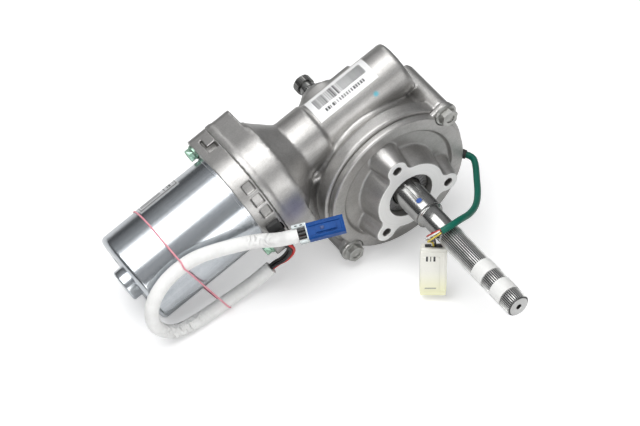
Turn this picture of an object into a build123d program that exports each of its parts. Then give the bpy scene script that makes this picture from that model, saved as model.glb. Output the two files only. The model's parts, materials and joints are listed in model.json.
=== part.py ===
from build123d import *

import math
import os

# Power steering gearbox for a steering column, in millimetres.
# A motor turns a worm, the worm turns a wheel on the output shaft, and a thin torsion bar
# joins the output shaft to the input shaft so that the sensor can read the driver's effort.
#
# The row frame has +X along the steering axis towards the input shaft and +Z up, as it lies
# on a bench. Its origin is the centre of the column flange's face. The worm's axis crosses
# above the steering axis, turned by clock_angle about X: its cap end is up, its motor down.

# Layout
clock_angle = 22.0
centre_distance = 50.0
worm_station = -62.0

# Column flange and sensor cover
flange_body_radius = 28.5
flange_bolt_radius = 33.5
flange_ear_radius = 8.2
flange_ear_fillet = 6.0
flange_hole_radius = 3.4
flange_hole_depth = 14.0
boss_draft = 13.0
cover_joint = -21.0
cover_rim_radius = 57.5
cover_rim_height = 6.0
cover_recess_radius = 47.0
cover_recess_depth = 3.0
cover_wall = 4.0
cover_spigot = 4.0
cover_spigot_wall = 5.5
cover_bolt_radius = 62.0
cover_bolt_angle = 27.5
cover_ear_radius = 8.2
cover_ear_neck = 12.0
cover_ear_height = 4.0
cover_spot_face = 9.4
vent_radius = 1.2
vent_circle_radius = 50.5
vent_angle = -38.0
seal_ring_radius = 1.0

# Gear housing
sensor_bore_radius = 50.0
wheel_bore_radius = 45.0
plate_seat = -50.0
chamber_end = -76.0
drum_radius = 60.5
drum_length = 11.0
housing_wall = 5.0
nose_end = -126.0
nose_radius = 21.5
nose_tip_radius = 14.0
front_boss_length = 48.0
rear_boss_length = 23.0
boss_radius = 7.3
pad_start = -50.0
pad_length = 24.0
web_start = -37.0
web_width = 14.0
web_top = 36.0
web_foot = -16.0
web_reach = 9.5
tube_radius = 20.5
tube_end = 52.6
tube_edge = 3.0
tube_step = 22.4
worm_bore_radius = 14.0
drive_boss_radius = 22.5
drive_boss_end = 46.0
drum_start = 61.0
drive_drum_radius = 38.5
ear_back = 64.5
motor_joint = 86.0
rib_width = 21.0
rib_start = 6.0
rib_crest = 47.0

# Motor
motor_ear_angle = -36.0
motor_flange_radius = 39.0
motor_bolt_flange = 5.8
motor_ear_radius = 8.6
bracket_length = 16.0
spigot_radius = 33.0
spigot_length = 4.0
bracket_plate = 8.0
pocket_pitch = 16.6
pocket_width = 8.3
pocket_length = 8.0
pocket_depth = 2.6
pocket_count = 3
pocket_first_angle = 17.5
joint_rim = 1.6
joint_rim_height = 0.7
can_radius = 36.7
can_rim_step = 0.5
can_length = 93.0
can_wall = 2.0
can_boss_radius = 12.6
can_boss_height = 7.6
magnet_thickness = 6.0
magnet_length = 56.0
magnet_arc = 140.0
armature_gap = 1.08
armature_length = 46.0
armature_slots = 14
slot_width = 4.0
slot_depth = 12.0
commutator_radius = 12.0
commutator_length = 16.0
commutator_bars = 14

# Shafts
sleeve_radius = 11.0
sleeve_end = 25.0
neck_radius = 8.6
spline_start = 48.0
spline_tip_radius = 8.95
spline_root_radius = 8.15
spline_teeth = 36
shaft_tip = 132.0
resin_ring_starts = (87.0, 109.0)
resin_ring_width = 11.7
resin_ring_radius = 9.1
resin_groove_radius = 7.6
resin_slit = 1.2
spigot_shaft_radius = 7.5
spigot_shaft_end = -44.0
input_seat_radius = 12.5
dog_width = 6.0
dog_radius = 10.6
dog_station = -27.0
dog_length = 3.2
twist_limit = 4.5
twist_margin = 1.0
output_tip = -144.0
stub_tip_radius = 7.5
stub_root_radius = 6.9
stub_teeth = 30
pinch_groove = (-138.0, -133.0)
pinch_groove_radius = 6.0
stub_end = -129.0
rear_seat_radius = 8.5
output_body_radius = 11.0
hub_seat_radius = 12.0
shoulder_radius = 15.0
front_seat_radius = 12.5
torsion_bar_radius = 2.6
torsion_end_radius = 4.0
torsion_pin_radius = 2.15
front_pin_station = 15.5
rear_pin_station = -100.0

# Worm gear pair: both helices are right handed and come from the same 20 degree tooth form
wheel_teeth = 41
worm_starts = 2
axial_module = 2.0
pressure_angle = 20.0
tooth_thinning = 0.14
wheel_width = 14.0
wheel_rim_radius = 31.0
worm_length = 38.0
worm_core_radius = 6.5
worm_journal_radius = 7.5

# Bearings: bore radius, outer radius and width
input_bearing = (12.5, 18.5, 7.0)
output_front_bearing = (12.5, 23.5, 12.0)
output_rear_bearing = (8.5, 17.5, 10.0)
worm_bearing = (7.5, 14.0, 7.0)
motor_bearing = (4.0, 11.0, 7.0)
input_bearing_station = -19.0
output_front_station = -49.0
output_rear_station = -116.0
worm_bearing_stations = (-36.0, 29.0)
motor_bearing_stations = (88.0, 193.2)
ring_share = 0.27
shield_thickness = 1.0
shield_gap = 0.3

# Clearances
seat_gap = 0.02
motor_bolt_radius = can_radius + can_rim_step + motor_bolt_flange + 0.2
armature_radius = can_radius - can_wall - seat_gap - magnet_thickness - armature_gap
running_gap = 0.05
soft_gap = 0.3

# Leads, measured along the steering axis, the worm's axis and the line between them
sleeve_lead_radius = 5.5
motor_wire_radius = 2.4
sensor_lead_radius = 2.5
sensor_wire_radius = 2.0

steering_way = Vector(1, 0, 0)
turn = math.radians(clock_angle)
worm_way = Vector(0, math.cos(turn), math.sin(turn))
reach_way = Vector(0, -math.sin(turn), math.cos(turn))


def place(station, along_worm, reach):
    """A point from its distance along the steering axis, along the worm and towards the worm."""
    return steering_way * station + worm_way * along_worm + reach_way * reach


def way(station, along_worm, reach):
    """A direction given in the same three parts as a place."""
    return place(station, along_worm, reach).normalized()


# Steering planes: the first looks along the shaft, the second cuts along it
steering = Plane(origin=(0, 0, 0), x_dir=worm_way, z_dir=steering_way)
steering_cut = Plane(origin=(0, 0, 0), x_dir=steering_way, z_dir=-worm_way)
steering_axis = Axis((0, 0, 0), steering_way)

# Drive planes: distances along the drive grow towards the motor
worm_centre = place(worm_station, 0, centre_distance)
drive = Plane(origin=worm_centre, x_dir=steering_way, z_dir=-worm_way)
drive_cut = Plane(origin=worm_centre, x_dir=-worm_way, z_dir=-steering_way)
drive_axis = Axis(worm_centre, -worm_way)

os.makedirs("parts", exist_ok=True)


def ship(part, name):
    """Label a finished piece and write it to its own file."""
    part.label = name
    export_step(part, f"parts/{name}.step")


def turned(cut_plane, axis, outline):
    """A solid of revolution from an outline of (along, radius) points."""
    with BuildPart() as body:
        with BuildSketch(cut_plane):
            with BuildLine():
                Polyline(*outline, close=True)
            make_face()
        revolve(axis=axis)
    return body.part


def ring(cut_plane, axis, start, length, inner, outer, bevel=0.0):
    """A plain ring, with its two outer edges bevelled where a bevel is given."""
    if bevel == 0.0:
        return turned(cut_plane, axis, [
            (start, inner),
            (start + length, inner),
            (start + length, outer),
            (start, outer),
        ])
    return turned(cut_plane, axis, [
        (start, inner),
        (start + length, inner),
        (start + length, outer - bevel),
        (start + length - bevel, outer),
        (start + bevel, outer),
        (start, outer - bevel),
    ])


def bearing_outer(cut_plane, axis, start, bearing):
    """A bearing's outer ring with a thin shield at each side that hides its balls."""
    bore, outer, width = bearing
    wall = (outer - bore) * ring_share
    shield = bore + wall + shield_gap
    rim = outer - seat_gap
    return turned(cut_plane, axis, [
        (start, shield),
        (start + shield_thickness, shield),
        (start + shield_thickness, rim - wall),
        (start + width - shield_thickness, rim - wall),
        (start + width - shield_thickness, shield),
        (start + width, shield),
        (start + width, rim),
        (start, rim),
    ])


def bearing_inner(cut_plane, axis, start, bearing):
    """A bearing's inner ring, a light press on its shaft."""
    bore, outer, width = bearing
    wall = (outer - bore) * ring_share
    return ring(cut_plane, axis, start, width, bore + seat_gap, bore + wall)


def polar_spot(radius, angle):
    """A sketch point from its radius and its angle in degrees."""
    return (radius * math.cos(math.radians(angle)), radius * math.sin(math.radians(angle)))


def wedge(radius, arc):
    """A flat wedge from a centre to beyond a radius, used to cut a ring into arcs."""
    reach = 1.2 * radius / math.cos(math.radians(0.5 * arc))
    return Polygon((0, 0), polar_spot(reach, -0.5 * arc), polar_spot(reach, 0.5 * arc),
                   align=None, mode=Mode.SUBTRACT)


def facing(origin, axis_way, start_way, angle):
    """A plane square to an axis, its x direction turned from a start by an angle in degrees."""
    return Plane(
        origin=origin,
        x_dir=start_way.rotate(Axis((0, 0, 0), axis_way), angle),
        z_dir=axis_way,
    )


def toothed_disc(plane, start, length, root, tip, teeth):
    """A straight run of serrations: a root cylinder with a ring of trapezium teeth."""
    pitch = 2 * math.pi * root / teeth
    foot = 0.42 * pitch
    land = 0.18 * pitch
    with BuildPart() as run:
        with BuildSketch(plane.offset(start)):
            Circle(root)
            with PolarLocations(0, teeth):
                Polygon(
                    (root - 0.3, -foot),
                    (root, -foot),
                    (tip, -land),
                    (tip, land),
                    (root, foot),
                    (root - 0.3, foot),
                    align=None,
                )
        extrude(amount=length)
    return run.part


# Gear housing: one casting with the wheel chamber, the nose, the worm tube and the motor drum

shell_outline = [
    (cover_joint, 0),
    (cover_joint, drum_radius - 0.6),
    (cover_joint - 0.6, drum_radius),
    (cover_joint - drum_length, drum_radius),
    (cover_joint - drum_length - 4.0, sensor_bore_radius + housing_wall),
    (plate_seat, sensor_bore_radius + housing_wall),
    (plate_seat - 3.5, wheel_bore_radius + housing_wall + 1.0),
    (chamber_end, wheel_bore_radius + housing_wall + 1.0),
    (chamber_end - 7.0, wheel_bore_radius),
    (chamber_end - 13.0, nose_radius + 5.5),
    (chamber_end - 22.0, nose_radius + 1.0),
    (output_rear_station - 1.5, nose_radius),
    (nose_end + 4.5, nose_tip_radius + 1.0),
    (nose_end + 1.0, nose_tip_radius),
    (nose_end, nose_tip_radius - 1.0),
    (nose_end, 0),
]
tube_outline = [
    (-tube_end, 0),
    (-tube_end, tube_radius - tube_edge),
    (-tube_end + 0.3 * tube_edge, tube_radius - 0.3 * tube_edge),
    (-tube_end + tube_edge, tube_radius),
    (tube_step, tube_radius),
    (tube_step + 1.6, drive_boss_radius),
    (drive_boss_end, drive_boss_radius),
    (drum_start, drive_drum_radius - 2.0),
    (drum_start + 1.0, drive_drum_radius),
    (motor_joint, drive_drum_radius),
    (motor_joint, 0),
]
rear_seat_end = output_rear_station + output_rear_bearing[2]
seal_bore_radius = nose_tip_radius - 1.8
seal_seat = nose_end + 6.5
steering_bore = [
    (cover_joint, 0),
    (cover_joint, sensor_bore_radius),
    (plate_seat, sensor_bore_radius),
    (plate_seat, wheel_bore_radius),
    (chamber_end, wheel_bore_radius),
    (chamber_end - 5.0, wheel_bore_radius - 4.0),
    (chamber_end - 8.0, output_rear_bearing[1] + 2.0),
    (rear_seat_end, output_rear_bearing[1] + 1.0),
    (rear_seat_end, output_rear_bearing[1]),
    (output_rear_station, output_rear_bearing[1]),
    (output_rear_station, rear_seat_radius + 2.0),
    (seal_seat, rear_seat_radius + 2.0),
    (seal_seat, seal_bore_radius),
    (nose_end, seal_bore_radius),
    (nose_end, 0),
]
lock_ring_end = worm_bearing_stations[1] + worm_bearing[2] + 4.0
drive_bore = [
    (-tube_end + housing_wall, 0),
    (-tube_end + housing_wall, worm_bore_radius - 4.0),
    (worm_bearing_stations[0], worm_bore_radius - 4.0),
    (worm_bearing_stations[0], worm_bore_radius),
    (lock_ring_end + 1.0, worm_bore_radius),
    (drive_boss_end + 1.0, worm_bore_radius + 1.5),
    (drum_start, spigot_radius - 1.5),
    (motor_joint - spigot_length - 1.0, spigot_radius - 1.5),
    (motor_joint - spigot_length - 1.0, spigot_radius),
    (motor_joint, spigot_radius),
    (motor_joint, 0),
]
cover_bolt_spots = [
    polar_spot(cover_bolt_radius, cover_bolt_angle),
    polar_spot(cover_bolt_radius, cover_bolt_angle + 180.0),
]
boss_lengths = [front_boss_length, rear_boss_length]
motor_bolt_thread = 16.0
plate_screw_circle = 0.5 * (sensor_bore_radius + wheel_bore_radius)
plate_screw_radius = 1.5
plate_screw_angles = (30.0, 150.0, 270.0)
lead_angle = -31.0
lead_notch_width = 9.0
lead_notch_depth = 8.5

with BuildPart() as gear_housing:
    with BuildSketch(steering_cut):
        with BuildLine():
            Polyline(*shell_outline, close=True)
        make_face()
    revolve(axis=steering_axis)
    with BuildSketch(drive_cut):
        with BuildLine():
            Polyline(*tube_outline, close=True)
        make_face()
    revolve(axis=drive_axis)
    # rhombic motor flange with two ears, and a fine raised rim at the joint
    with BuildSketch(drive.offset(ear_back)):
        Circle(motor_flange_radius)
        with PolarLocations(motor_bolt_radius, 2, start_angle=motor_ear_angle):
            Circle(motor_ear_radius)
        make_hull()
    extrude(amount=motor_joint - ear_back)
    with BuildSketch(drive.offset(motor_joint - 3 * joint_rim)):
        Circle(motor_flange_radius + joint_rim_height)
        with PolarLocations(motor_bolt_radius, 2, start_angle=motor_ear_angle):
            Circle(motor_ear_radius + joint_rim_height)
        make_hull()
    extrude(amount=3 * joint_rim)
    # bolt bosses for the cover, each webbed to the casting
    for spot, length in zip(cover_bolt_spots, boss_lengths):
        inner_spot = (0.76 * spot[0], 0.76 * spot[1])
        with BuildSketch(steering.offset(cover_joint)):
            with Locations(spot, inner_spot):
                Circle(boss_radius)
            make_hull()
        extrude(amount=-length)
    # web between the motor flange and the wheel chamber
    with BuildSketch(steering.offset(web_start)):
        Polygon(
            (-0.6 * drum_radius, web_top),
            (-ear_back - 1.5, web_top),
            (-ear_back - web_reach, 0.5 * web_top + 2.0),
            (-ear_back - web_reach, 0.5 * web_top - 4.0),
            (-ear_back + 3.0, -4.0),
            (-0.88 * drum_radius, web_foot),
            (-0.6 * drum_radius, web_foot),
            align=None,
        )
    extrude(amount=-web_width)
    # datum pad under the chamber, on which the gearbox also rests
    pad_angle = 270.0 - clock_angle
    pad_reach = drum_radius - boss_radius
    with BuildSketch(steering.offset(pad_start)):
        with Locations(polar_spot(pad_reach, pad_angle), polar_spot(0.76 * pad_reach, pad_angle)):
            Circle(boss_radius)
        make_hull()
    extrude(amount=-pad_length)
    # rib between the nose and the back of the worm tube
    with BuildSketch(steering_cut.offset(-rib_start)):
        with BuildLine():
            Polyline(
                (chamber_end + 6.0, nose_radius),
                (chamber_end - 28.0, nose_radius - 2.0),
                (chamber_end - 17.0, rib_crest),
                (chamber_end + 6.0, rib_crest + 5.0),
                close=True,
            )
        make_face()
    extrude(amount=-rib_width)
    # bores
    with BuildSketch(steering_cut):
        with BuildLine():
            Polyline(*steering_bore, close=True)
        make_face()
    revolve(axis=steering_axis, mode=Mode.SUBTRACT)
    with BuildSketch(drive_cut):
        with BuildLine():
            Polyline(*drive_bore, close=True)
        make_face()
    revolve(axis=drive_axis, mode=Mode.SUBTRACT)
    # tapped holes for the motor bolts, the cover bolts and the bearing plate's screws
    with BuildSketch(drive.offset(motor_joint)):
        with PolarLocations(motor_bolt_radius, 2, start_angle=motor_ear_angle):
            Circle(3.0 + seat_gap)
    extrude(amount=-motor_bolt_thread - 1.0, mode=Mode.SUBTRACT)
    with BuildSketch(steering.offset(cover_joint)):
        with Locations(*cover_bolt_spots):
            Circle(4.0 + seat_gap)
    extrude(amount=-18.0, mode=Mode.SUBTRACT)
    with BuildSketch(steering.offset(plate_seat)):
        with Locations(*[polar_spot(plate_screw_circle, a) for a in plate_screw_angles]):
            Circle(plate_screw_radius + seat_gap)
    extrude(amount=-9.0, mode=Mode.SUBTRACT)
    # notch in the drum's edge for the sensor lead's grommet
    notch_plane = Plane(
        origin=place(cover_joint, 0, 0),
        x_dir=way(0, *polar_spot(1, lead_angle)),
        z_dir=steering_way,
    )
    with BuildSketch(notch_plane):
        with Locations((drum_radius, 0)):
            Rectangle(5 * housing_wall, lead_notch_width)
    extrude(amount=-lead_notch_depth, mode=Mode.SUBTRACT)
ship(gear_housing.part, "gear_housing")

# Sensor cover: a round plate with a drafted boss that ends in the three-eared column flange

plate_top = cover_joint + cover_rim_height
recess_face = plate_top - cover_recess_depth
spigot_end = cover_joint - cover_spigot
spigot_outer = sensor_bore_radius - running_gap
input_bore_radius = input_bearing[1]
bearing_lip = 1.5

with BuildPart() as sensor_cover:
    # the drafted boss, widest at the plate
    with BuildSketch(steering) as flange_face:
        Circle(flange_body_radius)
        with PolarLocations(flange_bolt_radius, 3, start_angle=90):
            Circle(flange_ear_radius)
        fillet(flange_face.vertices(), radius=flange_ear_fillet)
    extrude(amount=recess_face - cover_wall * 0.5, taper=-boss_draft)
    with BuildSketch(steering_cut):
        with BuildLine():
            Polyline(
                (spigot_end, spigot_outer - cover_spigot_wall),
                (recess_face - cover_wall, spigot_outer - cover_spigot_wall),
                (recess_face - cover_wall, 0),
                (recess_face, 0),
                (recess_face, cover_recess_radius - 1.5),
                (plate_top, cover_recess_radius),
                (plate_top, cover_rim_radius - 1.0),
                (plate_top - 1.0, cover_rim_radius),
                (cover_joint, cover_rim_radius),
                (cover_joint, spigot_outer),
                (spigot_end, spigot_outer),
                close=True,
            )
        make_face()
    revolve(axis=steering_axis)
    # two bolt ears
    for spot in cover_bolt_spots:
        neck_spot = (0.8 * spot[0], 0.8 * spot[1])
        with BuildSketch(steering.offset(cover_joint)) as ear:
            with Locations(spot):
                Circle(cover_ear_radius)
            with Locations(neck_spot):
                Circle(cover_ear_neck)
            make_hull()
            Circle(cover_recess_radius, mode=Mode.SUBTRACT)
        extrude(amount=cover_ear_height)
    # through bore for the shaft, its bearing and its seal, with a lip behind the bearing
    with BuildSketch(steering):
        Circle(input_bore_radius)
    extrude(amount=input_bearing_station, mode=Mode.SUBTRACT)
    with BuildSketch(steering.offset(input_bearing_station)):
        Circle(input_bore_radius - bearing_lip)
    extrude(amount=-cover_wall, mode=Mode.SUBTRACT)
    # tapped holes in the three ears, bolt holes, the vent and the seal's groove
    with BuildSketch(steering):
        with PolarLocations(flange_bolt_radius, 3, start_angle=90):
            Circle(flange_hole_radius)
    extrude(amount=-flange_hole_depth, mode=Mode.SUBTRACT)
    with BuildSketch(steering.offset(plate_top)):
        with Locations(*cover_bolt_spots):
            Circle(cover_spot_face)
    extrude(amount=cover_ear_height - cover_rim_height, mode=Mode.SUBTRACT)
    with BuildSketch(steering.offset(plate_top)):
        with Locations(*cover_bolt_spots):
            Circle(4.3)
    extrude(amount=-cover_rim_height, mode=Mode.SUBTRACT)
    with BuildSketch(steering.offset(plate_top)):
        with Locations(polar_spot(vent_circle_radius, vent_angle)):
            Circle(vent_radius)
    extrude(amount=-3.0, mode=Mode.SUBTRACT)
    with BuildSketch(steering_cut):
        with Locations((cover_joint - 0.5 * cover_spigot, spigot_outer)):
            Rectangle(2.2 * seal_ring_radius, 4 * seal_ring_radius)
    revolve(axis=steering_axis, mode=Mode.SUBTRACT)
    # grommet notch, matching the one in the housing
    with BuildSketch(notch_plane):
        with Locations((0.5 * (spigot_outer + cover_rim_radius), 0)):
            Rectangle(30.0, lead_notch_width)
    extrude(amount=-lead_notch_depth, mode=Mode.SUBTRACT)
ship(sensor_cover.part, "sensor_cover")

with BuildPart() as cover_seal_ring:
    with BuildSketch(steering_cut):
        with Locations((cover_joint - 0.5 * cover_spigot, sensor_bore_radius - seal_ring_radius)):
            Circle(seal_ring_radius - seat_gap)
    revolve(axis=steering_axis)
    with BuildSketch(notch_plane):
        with Locations((sensor_bore_radius, 0)):
            Rectangle(4 * housing_wall, lead_notch_width)
    extrude(amount=-lead_notch_depth, mode=Mode.SUBTRACT)
ship(cover_seal_ring.part, "cover_seal_ring")


def flange_bolts(plane, spots, shank_radius, shank, head_flats, head_height, flange_radius):
    """Hexagon flange bolts standing on a plane, heads up, shanks down."""
    with BuildPart() as bolts:
        with BuildSketch(plane):
            with Locations(*spots):
                Circle(flange_radius)
        extrude(amount=0.2 * head_height)
        with BuildSketch(plane.offset(0.2 * head_height)):
            with Locations(*spots):
                Circle(flange_radius)
        extrude(amount=0.16 * head_height, taper=40)
        with BuildSketch(plane):
            with Locations(*spots):
                RegularPolygon(0.5 * head_flats, 6, major_radius=False)
        extrude(amount=head_height)
        with BuildSketch(plane.offset(head_height)):
            with Locations(*spots):
                Circle(0.3 * head_flats)
        extrude(amount=-0.12 * head_height, mode=Mode.SUBTRACT)
        with BuildSketch(plane):
            with Locations(*spots):
                Circle(shank_radius)
        extrude(amount=-shank)
    return bolts.part


ship(
    flange_bolts(steering.offset(cover_joint + cover_ear_height), cover_bolt_spots,
                 4.0, 20.0, 12.0, 7.0, 8.9),
    "cover_bolts",
)

# Input shaft bearing, its circlip and the dust seal, all in the cover's bore

input_bearing_end = input_bearing_station + input_bearing[2]
ship(bearing_outer(steering_cut, steering_axis, input_bearing_station, input_bearing),
     "input_bearing_outer")
ship(bearing_inner(steering_cut, steering_axis, input_bearing_station, input_bearing),
     "input_bearing_inner")

with BuildPart() as input_bearing_circlip:
    with BuildSketch(steering.offset(input_bearing_end)):
        Circle(input_bore_radius - seat_gap)
        Circle(input_bore_radius - 2.2, mode=Mode.SUBTRACT)
        with Locations((0, -input_bore_radius)):
            Rectangle(8.0, 6.0, mode=Mode.SUBTRACT)
    extrude(amount=1.2)
ship(input_bearing_circlip.part, "input_bearing_circlip")

seal_start = input_bearing_end + 1.2
ship(turned(steering_cut, steering_axis, [
    (seal_start, input_bore_radius - seat_gap),
    (seal_start + 4.5, input_bore_radius - seat_gap),
    (seal_start + 4.5, input_bore_radius - 2.2),
    (seal_start + 1.6, input_bore_radius - 2.8),
    (seal_start + 1.6, sleeve_radius + 2.0),
    (seal_start + 3.8, sleeve_radius + 0.5),
    (seal_start + 3.4, sleeve_radius + 0.3),
    (seal_start, sleeve_radius + 1.2),
]), "dust_seal")

# Bearing plate behind the sensor: it carries the output shaft's front bearing

plate_thickness = 5.0
front_bearing_end = output_front_station + output_front_bearing[2]
with BuildPart() as bearing_plate:
    with BuildSketch(steering_cut):
        with BuildLine():
            Polyline(
                (plate_seat, sensor_bore_radius - running_gap),
                (plate_seat, output_front_bearing[1] - 2.0),
                (output_front_station, output_front_bearing[1] - 2.0),
                (output_front_station, output_front_bearing[1]),
                (front_bearing_end, output_front_bearing[1]),
                (front_bearing_end, output_front_bearing[1] + 4.0),
                (plate_seat + plate_thickness, output_front_bearing[1] + 5.0),
                (plate_seat + plate_thickness, sensor_bore_radius - running_gap),
                close=True,
            )
        make_face()
    revolve(axis=steering_axis)
    with BuildSketch(steering.offset(plate_seat)):
        with Locations(*[polar_spot(plate_screw_circle, a) for a in plate_screw_angles]):
            Circle(plate_screw_radius + 0.2)
    extrude(amount=plate_thickness, mode=Mode.SUBTRACT)
ship(bearing_plate.part, "bearing_plate")

with BuildPart() as bearing_plate_screws:
    with BuildSketch(steering.offset(plate_seat + plate_thickness)) as heads:
        with Locations(*[polar_spot(plate_screw_circle, a) for a in plate_screw_angles]):
            Circle(1.5 * plate_screw_radius)
    extrude(amount=1.8)
    with BuildSketch(steering.offset(plate_seat + plate_thickness)):
        with Locations(*[polar_spot(plate_screw_circle, a) for a in plate_screw_angles]):
            Circle(plate_screw_radius)
    extrude(amount=-plate_thickness - 7.0)
ship(bearing_plate_screws.part, "bearing_plate_screws")

ship(bearing_outer(steering_cut, steering_axis, output_front_station, output_front_bearing),
     "output_front_bearing_outer")
ship(bearing_inner(steering_cut, steering_axis, output_front_station, output_front_bearing),
     "output_front_bearing_inner")
ship(bearing_outer(steering_cut, steering_axis, output_rear_station, output_rear_bearing),
     "output_rear_bearing_outer")
ship(bearing_inner(steering_cut, steering_axis, output_rear_station, output_rear_bearing),
     "output_rear_bearing_inner")

ship(turned(steering_cut, steering_axis, [
    (seal_seat, seal_bore_radius - seat_gap),
    (seal_seat, rear_seat_radius + 1.0),
    (seal_seat - 1.5, rear_seat_radius + 1.0),
    (seal_seat - 3.6, rear_seat_radius + 0.25),
    (seal_seat - 4.4, rear_seat_radius + 0.4),
    (seal_seat - 2.6, rear_seat_radius + 1.8),
    (seal_seat - 5.5, seal_bore_radius - 1.2),
    (seal_seat - 5.5, seal_bore_radius - seat_gap),
]), "output_seal")

# Torque sensor: a carrier ring in the housing holds the coil and the board

carrier_front = spigot_end - 0.4
carrier_length = 9.0
carrier_back = carrier_front - carrier_length
coil_inner = 19.5
coil_outer = 30.0
with BuildPart() as sensor_carrier:
    with BuildSketch(steering_cut):
        with BuildLine():
            Polyline(
                (carrier_back, sensor_bore_radius - running_gap),
                (carrier_back, coil_inner + 1.0),
                (carrier_back + 1.8, coil_inner + 1.0),
                (carrier_back + 1.8, coil_outer + seat_gap),
                (carrier_front, coil_outer + seat_gap),
                (carrier_front, coil_outer + 1.8),
                (carrier_back + 3.0, coil_outer + 1.8),
                (carrier_back + 3.0, sensor_bore_radius - 3.0),
                (carrier_front, sensor_bore_radius - 3.0),
                (carrier_front, sensor_bore_radius - running_gap),
                close=True,
            )
        make_face()
    revolve(axis=steering_axis)
    with BuildSketch(notch_plane.offset(carrier_front - cover_joint)):
        with Locations((sensor_bore_radius, 0)):
            Rectangle(4 * housing_wall, lead_notch_width)
    extrude(amount=-lead_notch_depth + 3.0, mode=Mode.SUBTRACT)
ship(sensor_carrier.part, "sensor_carrier")

coil_start = carrier_back + 1.8
ship(turned(steering_cut, steering_axis, [
    (coil_start, coil_inner),
    (carrier_front, coil_inner),
    (carrier_front, coil_outer),
    (carrier_front - 1.2, coil_outer),
    (carrier_front - 1.2, coil_outer - 3.0),
    (coil_start + 1.2, coil_outer - 3.0),
    (coil_start + 1.2, coil_outer),
    (coil_start, coil_outer),
]), "sensor_coil")

board_face = carrier_back + 3.0
with BuildPart() as sensor_board:
    with BuildSketch(steering.offset(board_face)):
        Circle(sensor_bore_radius - 3.5)
        Circle(coil_outer + 2.5, mode=Mode.SUBTRACT)
        with Locations(Location((0, 0), lead_angle + 90)):
            wedge(sensor_bore_radius, 120.0)
        with Locations(Location((0, 0), lead_angle - 150)):
            wedge(sensor_bore_radius, 120.0)
    extrude(amount=1.6)
    # a few sealed chips
    with BuildSketch(steering.offset(board_face + 1.6)):
        with Locations(polar_spot(39.5, lead_angle - 35), polar_spot(39.5, lead_angle + 32)):
            Rectangle(6.0, 5.0)
    extrude(amount=1.4)
ship(sensor_board.part, "sensor_board")

grommet_inner = sensor_bore_radius - 4.5
grommet_skirt = 1.2
nozzle_length = 8.0
nozzle_sink = 2.0
nozzle_radius = sensor_lead_radius + 1.6
grommet_way = way(0, *polar_spot(1, lead_angle))
grommet_centre = place(cover_joint - 0.5 * lead_notch_depth, 0, 0)
grommet_plane = Plane(origin=grommet_centre, x_dir=steering_way, z_dir=grommet_way)
nozzle_way = (steering_way * 0.75 + grommet_way * 0.66).normalized()
nozzle_root = grommet_centre + grommet_way * (drum_radius + 0.5) - nozzle_way * nozzle_sink
with BuildPart() as sensor_grommet:
    with BuildSketch(grommet_plane.offset(grommet_inner)):
        RectangleRounded(lead_notch_depth - 0.2, lead_notch_width - 0.2, 1.5)
    extrude(amount=drum_radius + grommet_skirt - grommet_inner)
    with BuildSketch(Plane(origin=nozzle_root, z_dir=nozzle_way)):
        Circle(nozzle_radius)
    extrude(amount=nozzle_length, taper=6)
ship(sensor_grommet.part, "sensor_grommet")

# Output shaft with its serrated stub, worm wheel and sensor ring

hub_front = worm_station + 10.0
hub_back = worm_station - 10.0
socket_radius = spigot_shaft_radius + running_gap
socket_end = spigot_shaft_end - 0.6
output_front_end = dog_station - 0.4
slot_half_angle = math.radians(twist_limit + twist_margin)
slot_width_front = 2 * dog_radius * math.tan(slot_half_angle) + dog_width

with BuildPart() as output_shaft:
    with BuildSketch(steering_cut):
        with BuildLine():
            Polyline(
                (pinch_groove[0] - 1.0, 0),
                (pinch_groove[0] - 1.0, stub_root_radius),
                (pinch_groove[0], pinch_groove_radius),
                (pinch_groove[1], pinch_groove_radius),
                (pinch_groove[1] + 0.6, stub_root_radius),
                (stub_end, stub_root_radius),
                (stub_end + 1.0, rear_seat_radius - 0.1),
                (output_rear_station, rear_seat_radius - 0.1),
                (output_rear_station, rear_seat_radius),
                (rear_seat_end, rear_seat_radius),
                (rear_seat_end, output_body_radius),
                (hub_back, output_body_radius),
                (hub_back, hub_seat_radius),
                (hub_front, hub_seat_radius),
                (hub_front, shoulder_radius),
                (output_front_station, shoulder_radius),
                (output_front_station, front_seat_radius),
                (output_front_end, front_seat_radius),
                (output_front_end, 0),
                close=True,
            )
        make_face()
    revolve(axis=steering_axis)
    add(toothed_disc(steering, output_tip, pinch_groove[0] - output_tip, stub_root_radius,
                     stub_tip_radius, stub_teeth))
    add(toothed_disc(steering, pinch_groove[1] + 0.6, stub_end - pinch_groove[1] - 0.6,
                     stub_root_radius, stub_tip_radius, stub_teeth))
    # socket for the input shaft's spigot, and the long bore for the torsion bar
    with BuildSketch(steering.offset(output_front_end)):
        Circle(socket_radius)
    extrude(amount=socket_end - output_front_end, mode=Mode.SUBTRACT)
    with BuildSketch(steering.offset(socket_end)):
        Circle(torsion_end_radius + 0.4)
    extrude(amount=rear_pin_station + 6.0 - socket_end, mode=Mode.SUBTRACT)
    with BuildSketch(steering.offset(rear_pin_station + 6.0)):
        Circle(torsion_end_radius + seat_gap)
    extrude(amount=-12.4, mode=Mode.SUBTRACT)
    # two stop slots in the front end limit the twist
    with BuildSketch(steering.offset(output_front_end)):
        Rectangle(2 * front_seat_radius + 2.0, slot_width_front)
    extrude(amount=-dog_length, mode=Mode.SUBTRACT)
    # cross hole for the rear pin
    with BuildSketch(Plane(origin=place(rear_pin_station, 0, 0), x_dir=steering_way,
                           z_dir=reach_way)):
        Circle(torsion_pin_radius + seat_gap)
    extrude(amount=output_body_radius + 1, both=True, mode=Mode.SUBTRACT)
    # centre drilling in the stub's end
    with BuildSketch(steering.offset(output_tip)):
        Circle(2.0)
    extrude(amount=3.0, mode=Mode.SUBTRACT)
ship(output_shaft.part, "output_shaft")

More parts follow.
